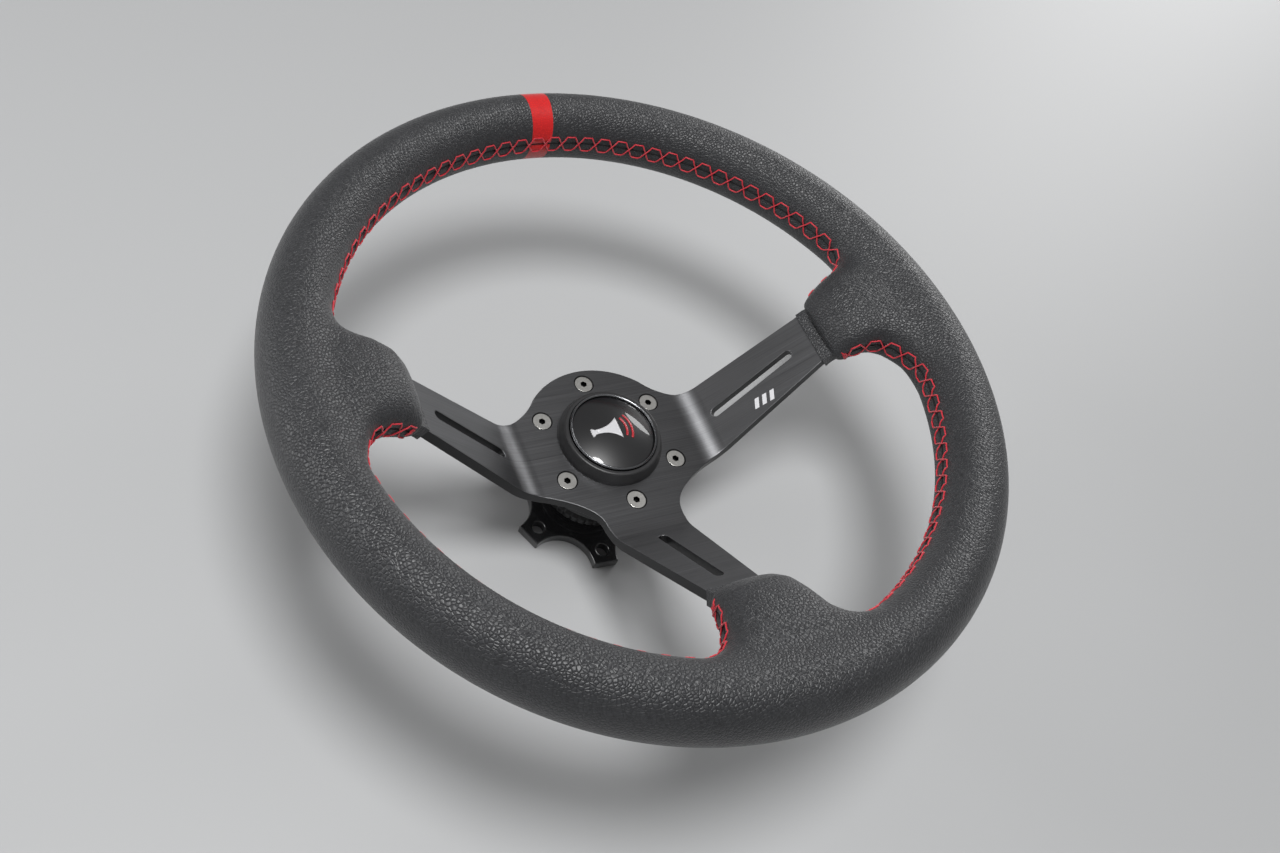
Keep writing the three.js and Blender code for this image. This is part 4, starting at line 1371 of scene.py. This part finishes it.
# Radii, and levels from the column flange's rear face.
release = {
    "bore": 15.5, "boreTop": 36.6, "barrel": 19.8, "foot": 9.5, "groove": 18.6, "grooveLevels": (10.7, 12.3),
    "flange": 41.5, "flangeBack": 43.7, "front": 49.7, "cup": 23.5, "cupFloor": 45.7, "feed": 6.0,
    "balls": 6, "ballRadius": 3.0, "ballBore": 3.2, "ballLevel": 20.0, "ballRest": 18.4,
}


def buildReleaseBody():
    bore, barrel, foot, flange = (release[k] for k in ("bore", "barrel", "foot", "flange"))
    back, face, cup, feed = (release[k] for k in ("flangeBack", "front", "cup", "feed"))
    low, high = release["grooveLevels"]
    outer = turned("release_body_visual", [
        (bore, foot), (barrel - 0.8, foot), (barrel, foot + 0.8), (barrel, low), (release["groove"], low),
        (release["groove"], high), (barrel, high), (barrel, back), (flange - 0.8, back), (flange, back + 0.8),
        (flange, face), (cup, face), (cup, release["cupFloor"]), (feed, release["cupFloor"]),
        (feed, release["boreTop"]), (bore, release["boreTop"]),
    ], satinBlack, 144, 0.2)
    bores = []
    for i in range(release["balls"]):
        profile = [(0, 0), (release["ballBore"], 0), (release["ballBore"], 10), (0, 10)]
        drill = turned("bore", profile, None, 40, 0)
        place = Matrix.Translation((13 * mm, 0, release["ballLevel"] * mm))
        turn = Matrix.Rotation(math.radians(360 / release["balls"] * i), 4, "Z")
        drill.data.transform(turn @ place @ Matrix.Rotation(math.pi / 2, 4, "Y"))
        bores.append(drill)
    cut(outer, joined("bores", bores))
    return weightNormals(outer, 40)


releaseBody = buildReleaseBody()
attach(releaseBody, "wheel")
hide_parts("release_body")

collarShape = {
    "foot": 15.5, "top": 36.0, "radius": 27.0, "waist": 25.4, "waistLevels": (20.8, 31.8), "mouth": 22.9,
    "pocket": 24.4, "pocketFloor": 30.0, "bore": 20.1, "coneTop": 26.4, "knurls": 40, "knurlDepth": 0.55,
}


def knurl(angle, r, z):
    low, high = collarShape["waistLevels"]
    if r < collarShape["radius"] - 0.8 or low - 0.8 <= z <= high + 0.7:
        return 0.0
    return -collarShape["knurlDepth"] * max(0.0, math.cos(collarShape["knurls"] * angle)) ** 2


def collarProfile():
    radius, waist, foot, top = (collarShape[k] for k in ("radius", "waist", "foot", "top"))
    low, high = collarShape["waistLevels"]
    floor = collarShape["pocketFloor"]
    return [
        (collarShape["mouth"], foot), (radius - 0.6, foot), (radius, foot + 0.7), (radius, low - 1.4),
        (waist, low), (waist, high), (radius, high + 1.2), (radius, top - 0.7), (radius - 0.6, top),
        (collarShape["pocket"], top), (collarShape["pocket"], floor), (collarShape["bore"], floor),
        (collarShape["bore"], collarShape["coneTop"]),
    ]


collar = turned("release_collar_visual", collarProfile(), satinBlack, 400, 0.2, wave=knurl)
weightNormals(collar, 40)
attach(collar, "collar")
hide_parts("release_collar")


def coil(name, radius, wire, low, high, turns, paint):
    steps = int(turns * 40)
    t = np.linspace(0, 1, steps)
    angle = 2 * np.pi * turns * t
    rise = np.clip((t * turns - 0.5) / (turns - 1.0), 0, 1)
    level = low + wire + (high - low - 2 * wire) * rise
    path = np.stack([radius * np.cos(angle), radius * np.sin(angle), level], axis=1)
    return tube(name, path, wire, paint, 12)


collarSpring = coil("collar_spring_visual", 22.2, 0.9, 30.3, 43.4, 4.5, brightSteel)
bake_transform(collarSpring)
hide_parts("collar_spring")
hornSpring = coil("horn_spring_visual", 8.0, 0.6, 48.9, 56.7, 3.5, brightSteel)
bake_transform(hornSpring)
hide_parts("horn_spring")
feedSpring = coil("contact_spring_visual", 2.7, 0.35, 3.3, 24.0, 9, brightSteel)
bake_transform(feedSpring)
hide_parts("contact_spring")


spline = {
    "teeth": 8, "tip": 15.0, "root": 13.4, "foot": 5.8, "length": 30.2, "bore": 5.0,
    "stub": 11.6, "stubLevels": (0.6, 6.2), "groove": 16.8, "grooveRadius": 3.3,
}


def buildSpigot():
    tip, root, bore = spline["tip"], spline["root"], spline["bore"]
    tooth = [(root, -0.32)] + [(tip, share) for share in (-0.22, -0.11, 0, 0.11, 0.22)]
    tooth += [(root, share) for share in (0.32, 0.41, 0.5)]
    pitch = 360 / spline["teeth"]
    outline = [polar(r, (i + share) * pitch) for i in range(spline["teeth"]) for r, share in tooth]
    loops = [outline, circle(bore, 48)]
    body = flatPlate("spline_spigot_visual", loops, spline["length"], spline["foot"], brightSteel, 0.5)
    low, high = spline["stubLevels"]
    profile = [(bore, low), (spline["stub"], low), (spline["stub"], high), (bore, high)]
    stub = turned("stub", profile, brightSteel, 72, 0.3)
    groove = circle(spline["grooveRadius"], 24, (spline["groove"], release["ballLevel"]))
    cut(body, turned("groove", groove, None, 96, 0))
    return weightNormals(joined("spline_spigot_visual", [body, stub]), 40)


spigot = buildSpigot()
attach(spigot, "column_half")
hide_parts("spline_spigot")

for i in range(release["balls"]):
    radius, level = release["ballRadius"], release["ballLevel"]
    arc = [(x, level + z) for x, z in (polar(radius, a) for a in np.linspace(-90, 90, 15))]
    arc[0], arc[-1] = (0, level - radius), (0, level + radius)
    centre = polar(release["ballRest"], 360 / release["balls"] * i)
    ball = turned(f"lock_ball_{i + 1}_visual", arc, nickel, 28, 0, centre)
    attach(ball, f"ball_{i + 1}")
    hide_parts(f"lock_ball_{i + 1}")

# Open ring in the body's groove; its gap faces the top of the wheel.
clipShape = {"inner": 18.9, "outer": 22.1, "levels": (11.05, 11.95), "round": 0.1, "gap": 16}


def buildClip():
    inner, outer, corner = clipShape["inner"], clipShape["outer"], clipShape["round"]
    low, high = clipShape["levels"]
    section = [
        (inner, low), (outer - corner, low), (outer, low + corner),
        (outer, high - corner), (outer - corner, high), (inner, high),
    ]
    start = 90 + clipShape["gap"] / 2
    headings = np.linspace(start, start + 360 - clipShape["gap"], 120)
    rings = [[(*polar(r, a), z) for r, z in section] for a in headings]
    verts, faces = loftMesh(rings)
    return weightNormals(tidyMesh(addMesh("retaining_ring_visual", verts, faces, brightSteel)), 30)


clip = buildClip()
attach(clip, "wheel")
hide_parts("retaining_ring")
print("quick release")

# CAD nodes that show as they are, or are hidden inside, take a finish only.
plainNodes = {
    "contact_insulator": blackPlastic, "contact_terminal": brassMetal, "contact_pin": brassMetal,
    "contact_seat": blackPlastic, "contact_disc": brassMetal, "rim_core": brightSteel,
    "spoke_rivet_right": brightSteel, "spoke_rivet_left": brightSteel, "spoke_rivet_bottom": brightSteel,
    "rim_foam_upper": rimFoam, "rim_foam_lower_left": rimFoam, "rim_foam_lower_right": rimFoam,
    "horn_cup": blackPlastic, "horn_contact_plate": brassMetal, "horn_stud": brassMetal,
    "horn_cap": blackPlastic,
}
for name, paint in plainNodes.items():
    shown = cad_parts[name]
    shown.data.materials.clear()
    shown.data.materials.append(paint)


studio = {
    "floor": (0.42, 0.425, 0.43), "floorReach": 14.0, "world": 0.26,
    "key": {"at": (-0.2, -0.17, 1.6), "size": 0.6, "power": 21},
    "side": {"at": (1.5, 0.9, 0.7), "size": 0.9, "power": 12},
    "fill": {"at": (-1.5, 0.5, 0.6), "size": 0.9, "power": 10},
    "target": (0, 0, 0.09),
}


def buildFloor():
    mesh = bpy.data.meshes.new("floor")
    reach = studio["floorReach"]
    corners = [(-reach, -reach, 0), (reach, -reach, 0), (reach, reach, 0), (-reach, reach, 0)]
    mesh.from_pydata(corners, [], [(0, 1, 2, 3)])
    made, _, _ = material("floorPaint", studio["floor"], 0.55)
    mesh.materials.append(made)
    addObject("floor", mesh)


def areaLight(name, spec):
    data = bpy.data.lights.new(name, "AREA")
    data.shape = "DISK"
    data.size = spec["size"]
    data.energy = spec["power"]
    obj = addObject(name, data)
    obj.location = spec["at"]
    towards = Vector(studio["target"]) - Vector(spec["at"])
    obj.rotation_euler = towards.to_track_quat("-Z", "Y").to_euler()


buildFloor()
for name in ("key", "side", "fill"):
    areaLight(name, studio[name])
world = bpy.data.worlds.new("studio")
world.use_nodes = True
world.node_tree.nodes["Background"].inputs[0].default_value = (1, 1, 1, 1)
world.node_tree.nodes["Background"].inputs[1].default_value = studio["world"]
bpy.context.scene.world = world

# Camera: place in millimetres from the rim's centre, and its turn in degrees.
camera = {
    "place": (-254.1, -252.3, 390.1),
    "turn": (39.95, -14.76, -21.72),
    "lens": 32.39, "shift": (0.0587, -0.0735),
}


def buildCamera():
    data = bpy.data.cameras.new("view")
    data.sensor_width = 36
    data.lens = camera["lens"]
    data.shift_x, data.shift_y = camera["shift"]
    data.clip_start = 0.01
    obj = addObject("view", data)
    obj.location = Vector(camera["place"]) * mm + Vector((0, 0, levels["rim"] * mm))
    obj.rotation_euler = [math.radians(a) for a in camera["turn"]]
    bpy.context.scene.camera = obj


buildCamera()
bpy.context.scene.view_settings.view_transform = "Standard"
print("stage ready")
